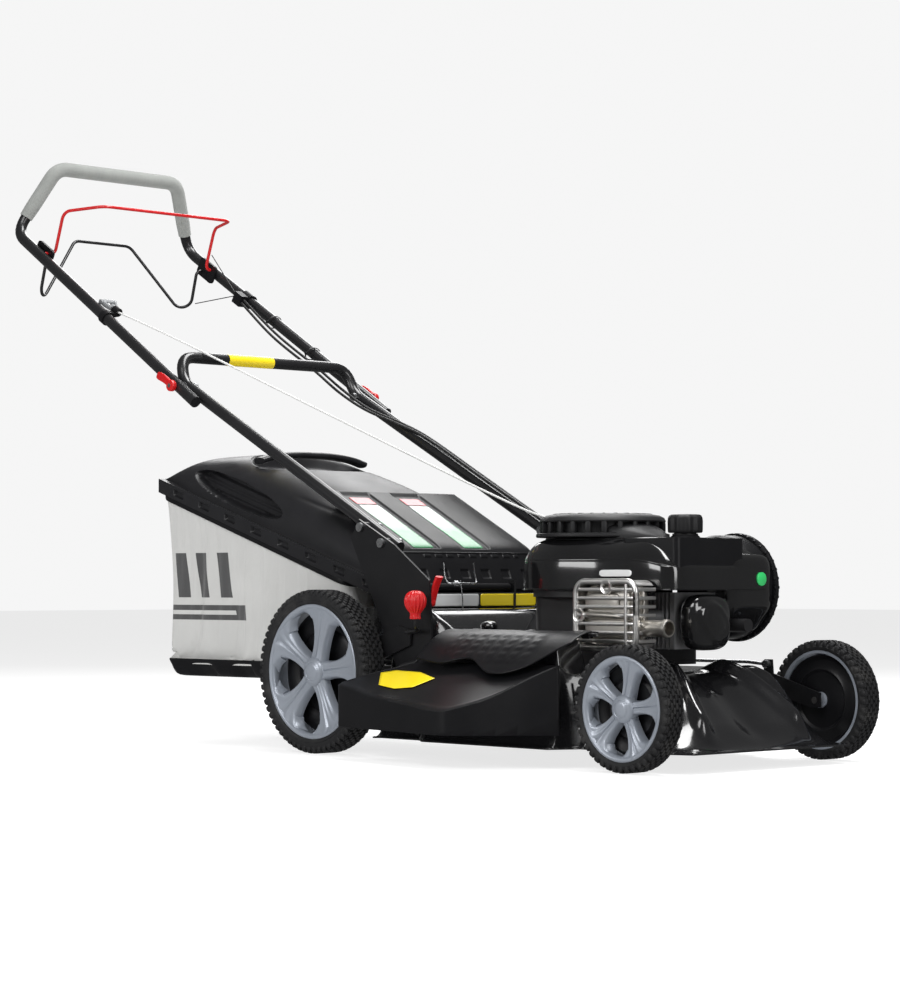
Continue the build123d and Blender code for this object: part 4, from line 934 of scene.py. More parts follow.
def make_guard():
    """A frame with a turned-in edge, seven level bars that bend round the corner, a post and two bosses."""
    flat = rounded_loop((GUARD_BACK + 4, GUARD_BOTTOM + 4), (GUARD_FRONT - 4, GUARD_TOP - 4), 20, 96)
    loop = np.stack([flat[:, 0], np.full(96, GUARD_OUT + 5), flat[:, 1]], axis=1)
    closed = np.concatenate([loop, loop[:3]])
    shapes = [swept(closed, oval(5.0, 4.6, 14, 3), up=(0, 1, 0), capped=False)]
    wrap = rounded_loop((GUARD_BACK + 2, GUARD_BOTTOM + 2), (GUARD_FRONT - 2, GUARD_TOP - 2), 22, 96)
    depth = np.array([GUARD_OUT + 6, GUARD_IN, GUARD_IN, GUARD_OUT + 6])[:, None]
    inset = np.array([0, 0, 2.0, 2.0])[:, None]
    middle = wrap.mean(axis=0)
    ring = middle + (wrap - middle) * (1 - inset[..., None] / 60)
    hide = np.abs(wrap[:, 0] - GUARD_FRONT) > 6
    side = np.stack([ring[..., 0], np.broadcast_to(depth, (4, 96)), ring[..., 1]], axis=-1)
    points, quads = grid(side, True, True)
    column = quads[:, 0] % 96
    keep = hide[column]
    shapes.append((points, quads[keep]))
    for z in np.linspace(GUARD_BOTTOM + 17, GUARD_TOP - 17, 7):
        bend = [(GUARD_BACK + 4, GUARD_OUT + 4, z), (GUARD_BACK + 50, GUARD_OUT + 3, z),
                (GUARD_FRONT - 22, GUARD_OUT + 3, z),
                (GUARD_FRONT - 6, GUARD_OUT + 6, z), (GUARD_FRONT - 2.4, GUARD_OUT + 20, z),
                (GUARD_FRONT - 2.4, GUARD_IN, z)]
        shapes.append(swept(spline(bend, 40), oval(1.7, 3.0, 12, 3)))
    x = GUARD_FRONT - 24
    post = [(x, GUARD_OUT + 3, GUARD_BOTTOM + 6), (x, GUARD_OUT + 2, 244), (x, GUARD_OUT + 3, GUARD_TOP - 6)]
    shapes.append(swept(spline(post, 20), oval(3.4, 1.8, 12, 3), up=(0, 1, 0)))
    for x, z, radius in ((514, 243, 11), (576, 289, 11)):
        boss = [(radius - 4, GUARD_OUT + 1), (radius, GUARD_OUT), (radius + 1, GUARD_OUT + 4),
                (radius - 4, GUARD_OUT + 6)]
        shapes.append(turned(boss, (x, 0, z), "y", 40, closed=True))
    return together(*shapes)


piece("muffler_guard_pressed", make_guard(), "chassis", GUARD_METAL, ["muffler_guard"], sharp=45)


def make_muffler():
    """Two soft shells, a seam flange between them, two stiffening lumps, a rod and the outlet pipe with a
    rolled mouth."""
    shells = [pillow((516, -154, 200), (632, -114, 288), 6, 24, 48),
              pillow((512, -137, 196), (636, -131, 292), 10, 16, 48)]
    lumps = [pillow((524, -158.5, 252), (600, -148, 280), 4), pillow((524, -158.5, 208), (624, -148, 238), 4)]
    pipe = [(11.2, 628), (13.3, 628), (13.3, 676), (14.6, 680), (14.6, 688), (13.2, 689.5), (11.2, 689.5)]
    cross = turned(pipe, (0, -135, 223), "x", 48, closed=True)
    rod = swept(spline([(508, -150, 243), (540, -157, 244), (600, -157, 242), (628, -152, 240)], 24),
                oval(5.5, 5.5, 14))
    return together(*shells, *lumps, cross, rod)


piece("muffler_shells", make_muffler(), "chassis", MUFFLER_METAL, ["muffler"], sharp=40)

# %% Valve cover and intake cover
def make_valve_cover():
    """A glossy leaf: a soft block whose outer face carries a raised pointed oval."""
    points, quads = pillow((638, -65, 186), (687, 33, 277), 3.4, 40, 80)
    across, up = (points[:, 1] + 16) / 44, (points[:, 2] - 232) / 38
    leaf = np.abs(across) ** 1.5 + np.abs(up + 0.35 * across) ** 1.6
    points[:, 0] -= 5.0 * eased((leaf - 0.72) / 0.12) * (points[:, 0] > 662)
    points[:, 0] -= 2.5 * np.exp(-(((leaf - 0.4) / 0.06) ** 2)) * (points[:, 0] > 662)
    return points, quads


piece("valve_cover", make_valve_cover(), "chassis", GLOSS, ["rocker_cover"], sharp=50)


def make_intake_cover():
    """The housing between the cover and the air filter: a soft block, cut away under the front."""
    points, quads = pillow((598, 36, 214), (669, 148, 344), 6, 36, 60)
    points[:, 0] -= 22 * eased((262 - points[:, 2]) / 40) * (points[:, 0] > 630)
    points[:, 0] -= 2 * np.exp(-(((points[:, 2] - 270) / 3) ** 2))
    return points, quads


piece("intake_cover", make_intake_cover(), "chassis", GLOSS, sharp=50)

# %% [markdown]
# The air filter is a round box on the far side. Its lid shows as a broad dark hoop with a stepped edge, held by
# small ribs.

# %% Air filter box
AIR_SPOT = (578.0, 0.0, 288.0)
box_line = [(0, 97), (70, 97), (84, 99), (87.6, 104), (87.6, 143), (85, 149.5), (0, 149.5)]
lid_line = [(80, 150), (88.5, 150), (91.5, 151.5), (91.6, 158), (89, 160.5), (82, 161.8), (79, 160.2), (60, 160.0),
            (40, 158.5), (0, 158.5), (0, 152), (80, 152)]
ribs = around(pillow((AIR_SPOT[0] + 87, 148, AIR_SPOT[2] - 3), (AIR_SPOT[0] + 91.4, 161, AIR_SPOT[2] + 3), 5, 7, 12),
              36, AIR_SPOT)
air_box = together(turned(box_line, AIR_SPOT, "y", 120), turned(lid_line, AIR_SPOT, "y", 120), ribs)
piece("air_filter_box", air_box, "chassis", GRAINED, ["air_filter_housing"], sharp=40)


# %% [markdown]
# Small labels: a white strip on the side of the cover and a green disc by the air filter. Each is a thin pad of
# its own colour with no writing.

# %% Engine labels
def pad(low, high, power=7.0):
    """A thin block with soft corners."""
    return pillow(low, high, power, 9, 40)


piece("cover_label", pad((514, -112.6, 306), (586, -110.9, 317)), "chassis", WHITE_LABEL)
disc = turned([(0, 672.3), (10.5, 672.2), (11.3, 671.6), (11.3, 668), (0, 668)], (0, 112, 302), "x", 48)
piece("filter_sticker", disc, "chassis", GREEN_LABEL)
print("engine done")


# %% [markdown]
# ## Grass bag
# The bag hangs behind the deck on its moulded lid. The lid is a hood with a rim all round: the rim carries a
# row of square slots, the sides lean in above it, a long lens-shaped vent lies in each side, and a hand hold is
# sunk in the crown. It is one surface: stations run front to back, each an arch from the right rim over the top
# to the left rim. Slots, vents and the hand hold are places where that surface is pushed in, so they stay
# joined to it.

# %% Bag lid
LID_BACK, LID_FRONT = -576.0, 79.0
RIM_TALL, RIM_STEP, LID_HALF = 26.0, 9.0, 194.5


def lid_edge(x):
    """Height of the lid's lower edge: a straight line from 470 at the back to 264 at the front."""
    return 470 - (x + 578) * 206 / 658


def lid_crown(x):
    """Height of the lid's crown along its middle: steep at the back, flat over the hand hold, then falling
    to the flap."""
    return np.interp(x, CROWN_X, CROWN_Z)


crown_line = spline([(-577, 486), (-572, 500), (-552, 522), (-518, 538), (-470, 540.5), (-400, 540), (-330, 523),
                     (-206, 487),
                     (-118, 451), (-20, 401), (70, 353), (80, 347)], 200)
CROWN_X, CROWN_Z = crown_line.T


def make_lid(columns=420, rows=230):
    """Arch: rim wall straight up, a step in, then a superellipse of power 2.8 to the crown."""
    x = np.linspace(LID_BACK, LID_FRONT, columns)[:, None]
    share = np.linspace(-1, 1, rows)
    side, up = np.sign(share), 1 - np.abs(share)
    rim_part, step_part = 0.13, 0.17
    base, crown = lid_edge(x), lid_crown(x)
    foot = base + RIM_TALL
    rise = np.clip((up - step_part) / (1 - step_part), 0, 1)
    turn = rise * np.pi / 2
    wide = (LID_HALF - RIM_STEP) - 6 * eased((x + 470) / -100)
    arch_y = wide * np.cos(turn) ** (2 / 2.8)
    arch_z = foot + np.maximum(crown - foot, 1.0) * np.sin(turn) ** (2 / 2.8)
    in_rim = up < rim_part
    in_step = (up >= rim_part) & (up < step_part)
    step_y = LID_HALF - (LID_HALF - wide) * (up - rim_part) / (step_part - rim_part)
    y = np.where(in_rim, LID_HALF, np.where(in_step, step_y, arch_y))
    z = np.where(in_rim, base + RIM_TALL * up / rim_part, np.where(in_step, foot + 0 * up, arch_z))
    slot_x = np.abs(((x + 552) % 78) - 39)
    slot = eased((15 - slot_x) / 2.0) * bump(up * 100, 4.2, 9.4, 1.2) * in_rim
    y = y - 5.5 * slot * (x > -560) * (x < 40)
    lens = ((x + 352) / 135) ** 2 + ((z - (lid_edge(x) + RIM_TALL + 36)) / 24) ** 2
    vent = eased((1 - lens) / 0.16) * (up > step_part) * (rise < 0.62)
    louvre = 0.5 + 0.5 * np.sin((z + x * 0.313) / 1.6)
    y = y - (21 + 2.4 * louvre) * vent
    grip = eased((1 - ((x + 352) / 84) ** 2 - (y / 132) ** 2) / 0.25) * (rise > 0.5)
    z = z - 26 * grip
    crease = np.exp(-(((z - lid_edge(x) - RIM_TALL - 74) / 3.2) ** 2)) * bump(x, -190, 60, 60) * (rise < 0.7)
    y = y - 2.2 * crease
    points = np.stack(np.broadcast_arrays(x, side * np.maximum(y, 0), z), axis=-1)
    ends = [0, -1]
    end_y, end_z = side * np.maximum(y, 0)[ends], lid_edge(x[ends]) + 0 * y[ends]
    low = np.stack(np.broadcast_arrays(x[ends], end_y, end_z), axis=-1)
    return grid(np.concatenate([low[:1], points, low[1:]]))


lid = piece("bag_lid_hood", make_lid(), "bag", LID_PLASTIC, ["bag_lid"], wall=2.4, sharp=52)
print("lid quads", len(lid.data.polygons))

# %% [markdown]
# The hand hold is bridged by a round bar that follows the crown, so that fingers can close on it.

# %% Hand hold bar
bar = spline([(-352, -128, 524), (-352, -96, 532), (-352, -50, 537), (-352, 0, 538), (-352, 50, 537), (-352, 96, 532),
              (-352, 128, 524)], 60)
piece("bag_hand_hold", swept(bar, oval(15, 6.5, 20, 2.6)), "bag", LID_PLASTIC)


# %% [markdown]
# ## Bag cloth
# The cloth is woven from grey polyester and sewn into a box with rounded upright edges, clipped into the lid
# above and riveted to the tray below. Between them it hangs slack and the sides draw in. The skin starts as a
# loft from the lid line to the tray. Blender's cloth solver then lets it settle with its top and bottom edges
# pinned: the creases come from the slack itself, and no formula for folds looks as right.

# %% Bag cloth
CLOTH_FRAMES, FARTHEST, CLOTH_THICK = 22, 0.024, 0.0008
CLOTH_BACK, CLOTH_FRONT, CLOTH_HALF, CLOTH_LOW = -573.0, -29.0, 190.0, 142.5
CLOTH_ROUND, CLOTH_ROWS = 260, 56


def cloth_outline(inset, count):
    """The bag in plan: a rectangle with rounded corners, at even steps along its edge."""
    fine = rounded_loop((CLOTH_BACK + inset, -CLOTH_HALF + inset), (CLOTH_FRONT - inset * 0.4, CLOTH_HALF - inset),
                        26, 2400)
    step = np.linalg.norm(np.roll(fine, -1, axis=0) - fine, axis=1)
    length = np.concatenate([[0], np.cumsum(step)])
    even = np.linspace(0, length[-1], count, endpoint=False)
    fine = np.concatenate([fine, fine[:1]])
    return np.stack([np.interp(even, length, fine[:, k]) for k in (0, 1)], axis=1), length[-1]


def make_cloth():
    """Rows fall from the lid line to the tray; each row is drawn in a little half way, most at the back."""
    outline, around_mm = cloth_outline(1.0, CLOTH_ROUND)
    down = np.linspace(0, 1, CLOTH_ROWS)[:, None]
    top = lid_edge(outline[:, 0]) + 6
    z = top + (CLOTH_LOW - top) * down
    middle = np.array([(CLOTH_BACK + CLOTH_FRONT) / 2, 0])
    draw = 1 - 0.035 * np.sin(np.pi * down) * bump(outline[:, 0], -600, -250, 200)
    plan = middle + (outline - middle) * draw[..., None]
    lean = 12 * down * eased((outline[:, 0] + 300) / -270)
    return np.concatenate([plan + np.stack([lean, 0 * lean], axis=-1), z[..., None]], axis=-1), around_mm


cloth_points, CLOTH_AROUND = make_cloth()
cloth_shape = grid(cloth_points, False, True)
corner = [cloth_shape[0][cloth_shape[1][:, k]] for k in range(4)]
FLAT_AREA = float(np.linalg.norm(np.cross(corner[2] - corner[0], corner[3] - corner[1]), axis=1).sum() / 2 / 1e6)
CLOTH_TALL = float(np.ptp(cloth_points[..., 2])) / 1000
print("cloth cut: %.3f x %.3f m, %.3f square metres" % (CLOTH_AROUND / 1000, CLOTH_TALL, FLAT_AREA))


def bag_weave():
    """Weave: two sets of ribs 1.6 mm apart cross on the surface. Print: plain slanted bars and a band, in
    fabric ink."""
    finish = Finish("bag cloth", Sheen_Weight=0.25, Sheen_Roughness=0.5)
    x, y, z = finish.axes(finish.spot())
    ribs = (z * 3.9).sine() * 0.5 + 0.5
    cross = ((x + y) * 3.9).sine() * 0.5 + 0.5
    weave = ribs * cross
    slant = x + z * 0.12
    bars = ((slant + 556.0) * (1 / 62.0)).fraction().inside(0.08, 0.62)
    bar_band = z.inside(268.0, 352.0) * slant.inside(-520.0, -322.0)
    under_band = z.inside(226.0, 254.0) * slant.inside(-538.0, -290.0)
    hollow = z.inside(236.0, 244.0) * slant.inside(-526.0, -330.0)
    ink = (bar_band * bars + under_band * (1.0 - hollow)) * (y < -150.0)
    cloud = finish.noise(9, 4.0)
    ground = finish.blend(cloud, (0.47, 0.47, 0.46), (0.60, 0.60, 0.585))
    woven = finish.blend(weave * 0.35, ground, (0.40, 0.40, 0.39))
    finish.feed("Base Color", finish.blend(ink * 0.94, woven, (0.03, 0.03, 0.032)))
    finish.feed("Roughness", weave * 0.15 + 0.72)
    finish.feed("Normal", finish.lift(weave, 0.35, 0.5, under=finish.lift(finish.noise(16, 3.0), 6.0, 0.25)))
    return finish.material


BAG_CLOTH = bag_weave()
cloth = piece("bag_cloth_woven", cloth_shape, "bag", BAG_CLOTH, ["bag_cloth"], sharp=180)


def settle(cloth_piece, frames, pinned_rows_mm=7.0):
    """Runs the cloth solver with the top and bottom rows pinned, then keeps its last frame, each point moved
    by at most 24 mm."""
    mesh = cloth_piece.data
    count = len(mesh.vertices)
    co = np.empty(count * 3, np.float32)
    mesh.vertices.foreach_get("co", co)
    co = co.reshape(-1, 3)
    z = (co[:, 2] - ORIGIN[2]) * 1000
    edge = lid_edge((co[:, 0] - ORIGIN[0]) * 1000) + 6
    pinned = np.nonzero((z > edge - pinned_rows_mm) | (z < CLOTH_LOW + pinned_rows_mm))[0]
    group = cloth_piece.vertex_groups.new(name="held edges")
    group.add(pinned.tolist(), 1.0, "ADD")
    solver = cloth_piece.modifiers.new("settle", "CLOTH")
    solver.settings.vertex_group_mass = "held edges"
    solver.settings.quality, solver.settings.mass = 6, 0.25
    solver.settings.tension_stiffness = solver.settings.compression_stiffness = 22
    solver.settings.bending_stiffness = 0.6
    solver.settings.shrink_min = -0.035
    solver.settings.use_pressure, solver.settings.uniform_pressure_force = True, -0.6
    scene = bpy.context.scene
    scene.frame_start, scene.frame_end = 1, frames
    solver.point_cache.frame_start, solver.point_cache.frame_end = 1, frames
    for frame_number in range(1, frames + 1):
        scene.frame_set(frame_number)
    settled = cloth_piece.evaluated_get(bpy.context.evaluated_depsgraph_get())
    after = np.empty(count * 3, np.float32)
    settled.data.vertices.foreach_get("co", after)
    cloth_piece.modifiers.clear()
    scene.frame_set(1)
    shift = after.reshape(-1, 3) - co
    far = np.linalg.norm(shift, axis=1, keepdims=True)
    shift *= np.minimum(1, FARTHEST / np.maximum(far, 1e-9))
    new = co + shift
    low, high = place((CLOTH_BACK - 3, -CLOTH_HALF - 7, 0)), place((CLOTH_FRONT + 3, CLOTH_HALF + 7, 0))
    new[:, :2] = np.clip(new[:, :2], low[:2], high[:2])
    mesh.vertices.foreach_set("co", new.ravel())
    mesh.update()
    print("cloth moved by up to %.1f mm" % (float(far.max()) * 1000))


settle(cloth, CLOTH_FRAMES)
thick = cloth.modifiers.new("cloth", "SOLIDIFY")
thick.thickness, thick.offset = CLOTH_THICK, -1
CLOTH_AROUND / 1000

# %% [markdown]
# The tray under the bag is moulded with deep waves along its lower edge, so that it slides over stubble without
# catching. Its rim laps over the cloth.

# %% Bag tray
TRAY_TOP, TRAY_FALL, TRAY_WAVES, TRAY_BACK_SHIFT = 152.6, 1.43, 14, 14.0


def make_tray():
    """Rows go from the rim down the wall and in under the floor; the wall's foot swings in and out along the edge."""
    outline = cloth_outline(-2.0, 420)[0]
    middle = np.array([(CLOTH_BACK + CLOTH_FRONT) / 2, 0])
    along = np.linspace(0, 2 * np.pi, 420, endpoint=False)
    wave = eased(0.5 + 0.62 * np.sin(along * TRAY_WAVES))
    drop = np.array([0, 1.5, 4, 8, 13, 17, 20, 22, 23, 23.4, 23.5])
    inset = np.array([1.0, 0, 0.2, 1.5, 3.0, 6, 10, 16, 26, 40, 120])
    depth = np.clip(drop / 23.5, 0, 1)[:, None]
    pull = inset[:, None] + 13 * wave * eased(depth * 1.4) * (depth < 0.985)
    reach = np.linalg.norm(outline - middle, axis=1)
    plan = middle + (outline - middle) * (1 - pull / reach)[..., None]
    plan[..., 0] += np.where(outline[:, 0] < -300, TRAY_BACK_SHIFT, 0.0)
    z = np.broadcast_to(TRAY_TOP - drop[:, None] * TRAY_FALL, plan.shape[:2])
    points = np.concatenate([plan, z[..., None]], axis=-1)
    hub = points[-1].mean(axis=0)
    rest = points[-1] + (hub - points[-1]) * np.linspace(0.3, 1, 4)[:, None, None]
    return grid(np.concatenate([points, rest]), False, True)


piece("bag_tray_moulded", make_tray(), "bag", GRAINED, ["bag_tray"], wall=2.2, sharp=60)

# %% [markdown]
# A binding of folded tape runs round the top of the cloth where it meets the lid, stitched through. It hides
# the raw edge.

# %% Top binding
outline = cloth_outline(-0.8, 240)[0]
binding = np.concatenate([outline, (lid_edge(outline[:, 0]) - 3.5)[:, None]], axis=1)
binding = np.concatenate([binding, binding[:3]])
piece("bag_binding", swept(binding, oval(1.6, 6.5, 12, 3), capped=False), "bag", GRAINED, sharp=60)

# %% [markdown]
# ## Rear flap
# The flap keeps the outlet shut when the bag is off. Two shallow channels in it hold long labels, a row of
# small bricks marks the bend, and a row of square slots runs above the hinge. It is one sheet: down the profile
# from the free edge to the hinge, across from right to left.

# %% Rear flap
FLAP_LINE = [(-121, 464), (-80, 443), (-20, 412), (40, 381), (70, 364.5), (83, 353), (92, 338), (100, 322),
             (110, 300), (116, 285)]
CHANNELS = ((-132, -62), (-10, 60))
FLAP_HALF, CHANNEL_DEPTH, FLAP_INSET, LABEL_LIFT = 165.5, 3.2, 1.8, 0.35


def flap_point(share):
    """A place on the flap's profile, share 0 at the free edge and 1 at the hinge, and how far it faces up
    and forward."""
    line = spline(FLAP_LINE, 200)
    at = np.linspace(0, 1, 200)
    x, z = np.interp(share, at, line[:, 0]), np.interp(share, at, line[:, 1])
    slope = np.gradient(line, axis=0)
    slope /= np.linalg.norm(slope, axis=1, keepdims=True)
    out_x, out_z = np.interp(share, at, -slope[:, 1]), np.interp(share, at, slope[:, 0])
    return x, z, out_x, out_z


def make_rear_flap():
    """The profile, pushed in or out across itself by channels, bricks, slots and a ridge; its side edges turn in."""
    share = np.linspace(0, 1, 180)[:, None]
    y = np.linspace(-FLAP_HALF, FLAP_HALF, 280)
    x, z, out_x, out_z = flap_point(share)
    channel = sum(bump(y, low, high, 5) for low, high in CHANNELS) * bump(share * 100, 2, 50, 4)
    bricks = (np.sin(y / 4.4) > -0.3) * bump(share * 100, 60.5, 64, 1.0) * bump(y, -120, 120, 4)
    slot_y = np.abs(((y + 150) % 50) - 25)
    slots = eased((11 - slot_y) / 2) * bump(share * 100, 79, 86, 2) * bump(y, -150, 150, 4)
    edge = 1.6 * bump(share * 100, 57.5, 59, 1)
    push = -CHANNEL_DEPTH * channel + 1.4 * bricks - 2.4 * slots + edge - 4 * eased((np.abs(y) - 152) / 14) ** 2
    push = push * eased((1 - share) * 14) - FLAP_INSET
    points = np.stack(np.broadcast_arrays(x + out_x * push, y, z + out_z * push), axis=-1)
    return grid(points)


piece("rear_flap_moulding", make_rear_flap(), "rear_flap", GRAINED, ["rear_flap"], wall=2.0,
      sharp=48)
barrel = turned([(0, -142), (6.6, -142), (7, -140), (7, 70), (6.6, 72), (0, 72)], (112, 0, 288), "y", 40)
piece("rear_flap_barrel", barrel, "rear_flap", GRAINED)


# %% Flap labels
def make_flap_label(low, high, first, last):
    """A strip between two shares of the profile, laid in its channel with slightly round ends."""
    share = np.linspace(first, last, 40)[:, None]
    across = np.linspace(-1, 1, 16)
    x, z, out_x, out_z = flap_point(share)
    trim = 1 - 0.12 * np.abs((share - first) / (last - first) * 2 - 1) ** 14
    y = (low + high) / 2 + across * (high - low) / 2 * trim
    push = -CHANNEL_DEPTH - FLAP_INSET + LABEL_LIFT
    return grid(np.stack(np.broadcast_arrays(x + out_x * push, y, z + out_z * push), axis=-1))


for number, (low, high) in enumerate(CHANNELS):
    strip = make_flap_label(low + 10, high - 10, 0.12, 0.47)
    piece(f"flap_label_{number}", strip, "rear_flap", GREEN_FADE, wall=0.3)
    end = make_flap_label(low + 10, high - 10, 0.055, 0.115)
    piece(f"flap_label_end_{number}", end, "rear_flap", RED_LABEL, wall=0.3)
print("bag and flap done")


# %% [markdown]
# ## Handle, levers, rope and cables
# The handle's tubes are swept smooth, because a polished tube shows every flat of a coarse mesh. The bails and
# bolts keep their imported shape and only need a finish. The foam on the grip is new: it bulges a little between
# its ends and tapers where it's cut. The red cam levers, the balloon-shaped height knob and the starter grip
# are mouldings with flutes and hollows, so they get their own shapes.

# %% Handle lines
JOINT_X, JOINT_Z = -459.0, 665.0
UPPER_SLOPE, LOWER_SLOPE = 0.6073, 0.5198
HANDLE_R, ROPE_R, CABLE_R = 11, 2.0, 2.7


def upper_z(x):
    """Height of the upper tubes: the joint's height less the slope times the distance ahead of it."""
    return JOINT_Z - UPPER_SLOPE * (x - JOINT_X)


def upper_y(x):
    """Half the spread of the upper tubes: 238 at their lower ends, 19 less after 624 mm."""
    return 238.0 - 19.0 * (-404.0 - x) / 624.0


def lower_z(x):
    """Height of the lower tubes, which are less steep."""
    return JOINT_Z - LOWER_SLOPE * (x - JOINT_X)


ELBOW = np.array((-1028.0, 219.0, upper_z(-1028.0)))
CORNER = np.array((-980.0, 152.0, 1143.0))


# %% Tubes
def rounded_route(points, reaches, count=60):
    """A line with its corners rounded: each becomes a quadratic curve between the points one reach before
    and after it."""
    points = np.asarray(points, float)
    parts = [points[:1]]
    for before, corner, after, reach in zip(points, points[1:], points[2:], reaches):
        into = corner - (corner - before) / np.linalg.norm(corner - before) * reach
        out = corner + (after - corner) / np.linalg.norm(after - corner) * reach
        t = np.linspace(0, 1, count)[:, None]
        parts.append((1 - t) ** 2 * into + 2 * t * (1 - t) * corner + t**2 * out)
    parts.append(points[-1:])
    line = np.concatenate(parts)
    length = np.concatenate([[0], np.cumsum(np.linalg.norm(np.diff(line, axis=0), axis=1))])
    even = np.linspace(0, length[-1], 260)
    return np.stack([np.interp(even, length, line[:, k]) for k in range(3)], axis=1)


upper_end = np.array((-404.0, 238.0, upper_z(-404.0)))
flip = np.array((1, -1, 1))
upper_line = rounded_route([upper_end * flip, ELBOW * flip, CORNER * flip, CORNER, ELBOW, upper_end],
                           (36, 25, 25, 36))
piece("upper_handle_tube", swept(upper_line, oval(HANDLE_R, HANDLE_R, 32), up=(0.1, 0.02, 1)), "upper_handle", POWDER,
      ["upper_handle"], sharp=60)
lower_end, knee, bar_end = np.array([(136, 213, 355.7), (-472, 213, lower_z(-472)), (-492, 205, 724)])
lower_line = rounded_route([lower_end * flip, knee * flip, bar_end * flip, bar_end, knee, lower_end],
                           (22, 30, 30, 22))
piece("lower_handle_tube", swept(lower_line, oval(HANDLE_R, HANDLE_R, 32), up=(0.1, 0.02, 1)), "chassis", POWDER,
      ["lower_handle"], sharp=60)

# %% [markdown]
# The foam starts a short way above each elbow and runs round both corners.

# %% Foam grip
start = ELBOW + (CORNER - ELBOW) * 0.235
foam_line = rounded_route([start * flip, CORNER * flip, CORNER, start], (25, 25))
along = np.linspace(0, 1, len(foam_line))
swell = 0.93 + 0.07 * eased(np.minimum(along, 1 - along) * 18) + 0.004 * np.sin(along * 400)
piece("foam_sleeve", swept(foam_line, oval(14.6, 14.6, 28), up=(0.9, 0.0, -0.43), scale=swell), "upper_handle", FOAM,
      ["foam_grip"], sharp=60)


# %% Cam levers
def make_cam_lever(side):
    """A paddle: a soft block thinned towards its tip, turned to the tube's slope, on a round boss with a
    ribbed edge."""
    hinge = upper_y(JOINT_X) + 11.8
    low, high = sorted((side * hinge, side * (hinge + 10.2)))
    boss = turned([(0, low), (9.6, low), (10.8, low + 1.5), (10.8, high - 1.5), (9.4, high), (4, high - 0.6),
                   (0, high - 0.6)],
                  (JOINT_X, 0, JOINT_Z), "y", 72, flutes=18, flute_depth=0.05)
    points, quads = pillow((-50, low + 1.4, -7.5), (4, high - 0.4, 7.5), 4, 24, 40)
    share = (4 - points[:, 0]) / 54
    points[:, 2] = points[:, 2] * (0.8 + 0.35 * share) + 2.5 * np.sin(share * 3.0)
    middle = (low + high) / 2
    points[:, 1] = middle + (points[:, 1] - middle) * (1 - 0.35 * eased((share - 0.2) / 0.6))
    paddle = moved((points - (0, middle, 0), quads), (JOINT_X, middle, JOINT_Z), tilt_y(27))
    return together(boss, paddle)


for side, s in SIDES.items():
    piece(f"cam_paddle_{side}", make_cam_lever(s), f"cam_lever_{side}", RED, [f"cam_lever_{side}"],
          sharp=50)

# %% [markdown]
# The height knob is a squeezed balloon with vertical flutes. It is a profile turned about the lever's upright
# end, with sixteen grooves cut into its radius.

# %% Height knob
knob_line = [(3.3, 235), (8.6, 235), (9.3, 236.5), (9.0, 242), (9.6, 245.5), (13.2, 250), (17.2, 256), (18.8, 263),
             (18.3, 270),
             (15.4, 276.5), (10.4, 280.8), (5.0, 282.6), (0, 282.9)]
knob = turned(spline(knob_line, 70), (237, -268, 0), "z", 192, flutes=16, flute_depth=0.10)
piece("height_knob_fluted", knob, "rear_lift", RED, ["height_knob"], sharp=60)

# %% Latch lever
hook = spline([(232, -225, 262), (236, -225, 276), (241, -225, 290), (250, -225, 306)], 24)
lever = swept(hook, oval(2.8, 7.0, 20, 3), up=(0, 1, 0), scale=np.linspace(1.0, 1.15, 24))
boss = turned([(0, -235.4), (5.6, -235.4), (6.6, -234), (6.8, -223), (5.6, -222), (0, -222)], (232, 0, 262), "y", 40)
piece("latch_paddle", together(lever, boss), "latch_lever", RED, ["latch_lever"], sharp=60)


# %% [markdown]
# The starter grip is a T that two fingers pull. Its bar is swollen in the middle and the stem is hollowed on
# both sides.

# %% Starter grip
GUIDE = np.array((-701.0, -204.0, upper_z(-701.0) + 14))


def make_starter_grip():
    """Bar across the rope, two cheeks back to it, and a nose on the rope, in the rope's own slope."""
    bar_line = np.stack([np.full(30, -39.0), np.linspace(-15, 21, 30), np.zeros(30)], axis=1)
    swell = 0.82 + 0.18 * np.cos(np.linspace(-1.5, 1.5, 30))
    shapes = [swept(bar_line, oval(7.0, 5.4, 20, 2.6), up=(0, 0, 1), scale=swell)]
    for s in (-1, 1):
        cheek = spline([(-39, 3 + s * 13, 0), (-30, 2 + s * 13, 0), (-20, 1 + s * 10, 0), (-12, s * 5, 0)], 20)
        shapes.append(swept(cheek, oval(3.0, 4.8, 16, 3), up=(0, 0, 1)))
    nose = [(2.4, -20), (6, -20), (6.6, -17), (6.6, -12), (5, -8.4), (2.4, -8.4)]
    shapes.append(turned(nose, (0, 0, 0), "x", 40, closed=True))
    return moved(together(*shapes), GUIDE, tilt_y(31))


piece("starter_t_grip", make_starter_grip(), "starter_grip", GREY_PLASTIC, ["starter_grip"], sharp=60)

# %% [markdown]
# ## Rope and cables
# A rope and two control cables run from the handle to the engine. They are held at both ends by the mower, so
# they are tubes along a smooth line and not free cords. The rope's twist follows its own length, so it has a UV
# map whose first axis is the distance along it.

# %% Twisted rope finish
def rope_finish():
    """Strands: a sine of distance along the rope plus the way round it. Colour is painted darker in the grooves
    between strands, as painted shade.
    """
    finish = Finish("starter rope", Sheen_Weight=0.3)
    uv = finish.add("UVMap", {"uv_map": "UVMap"})
    parts = finish.add("SeparateXYZ", None, {0: uv}).socket.node.outputs
    strand = (Wire(finish, parts[0]) * 900.0 + Wire(finish, parts[1]) * 12.566).sine() * 0.5 + 0.5
    # painted shade: the low grooves between strands get the darker colour
    finish.feed("Base Color", finish.blend(strand, (0.60, 0.60, 0.59), (0.78, 0.78, 0.77)))
    finish.feed("Roughness", strand * -0.1 + 0.8)
    finish.feed("Normal", finish.lift(strand, 0.35, 0.6))
    return finish.material


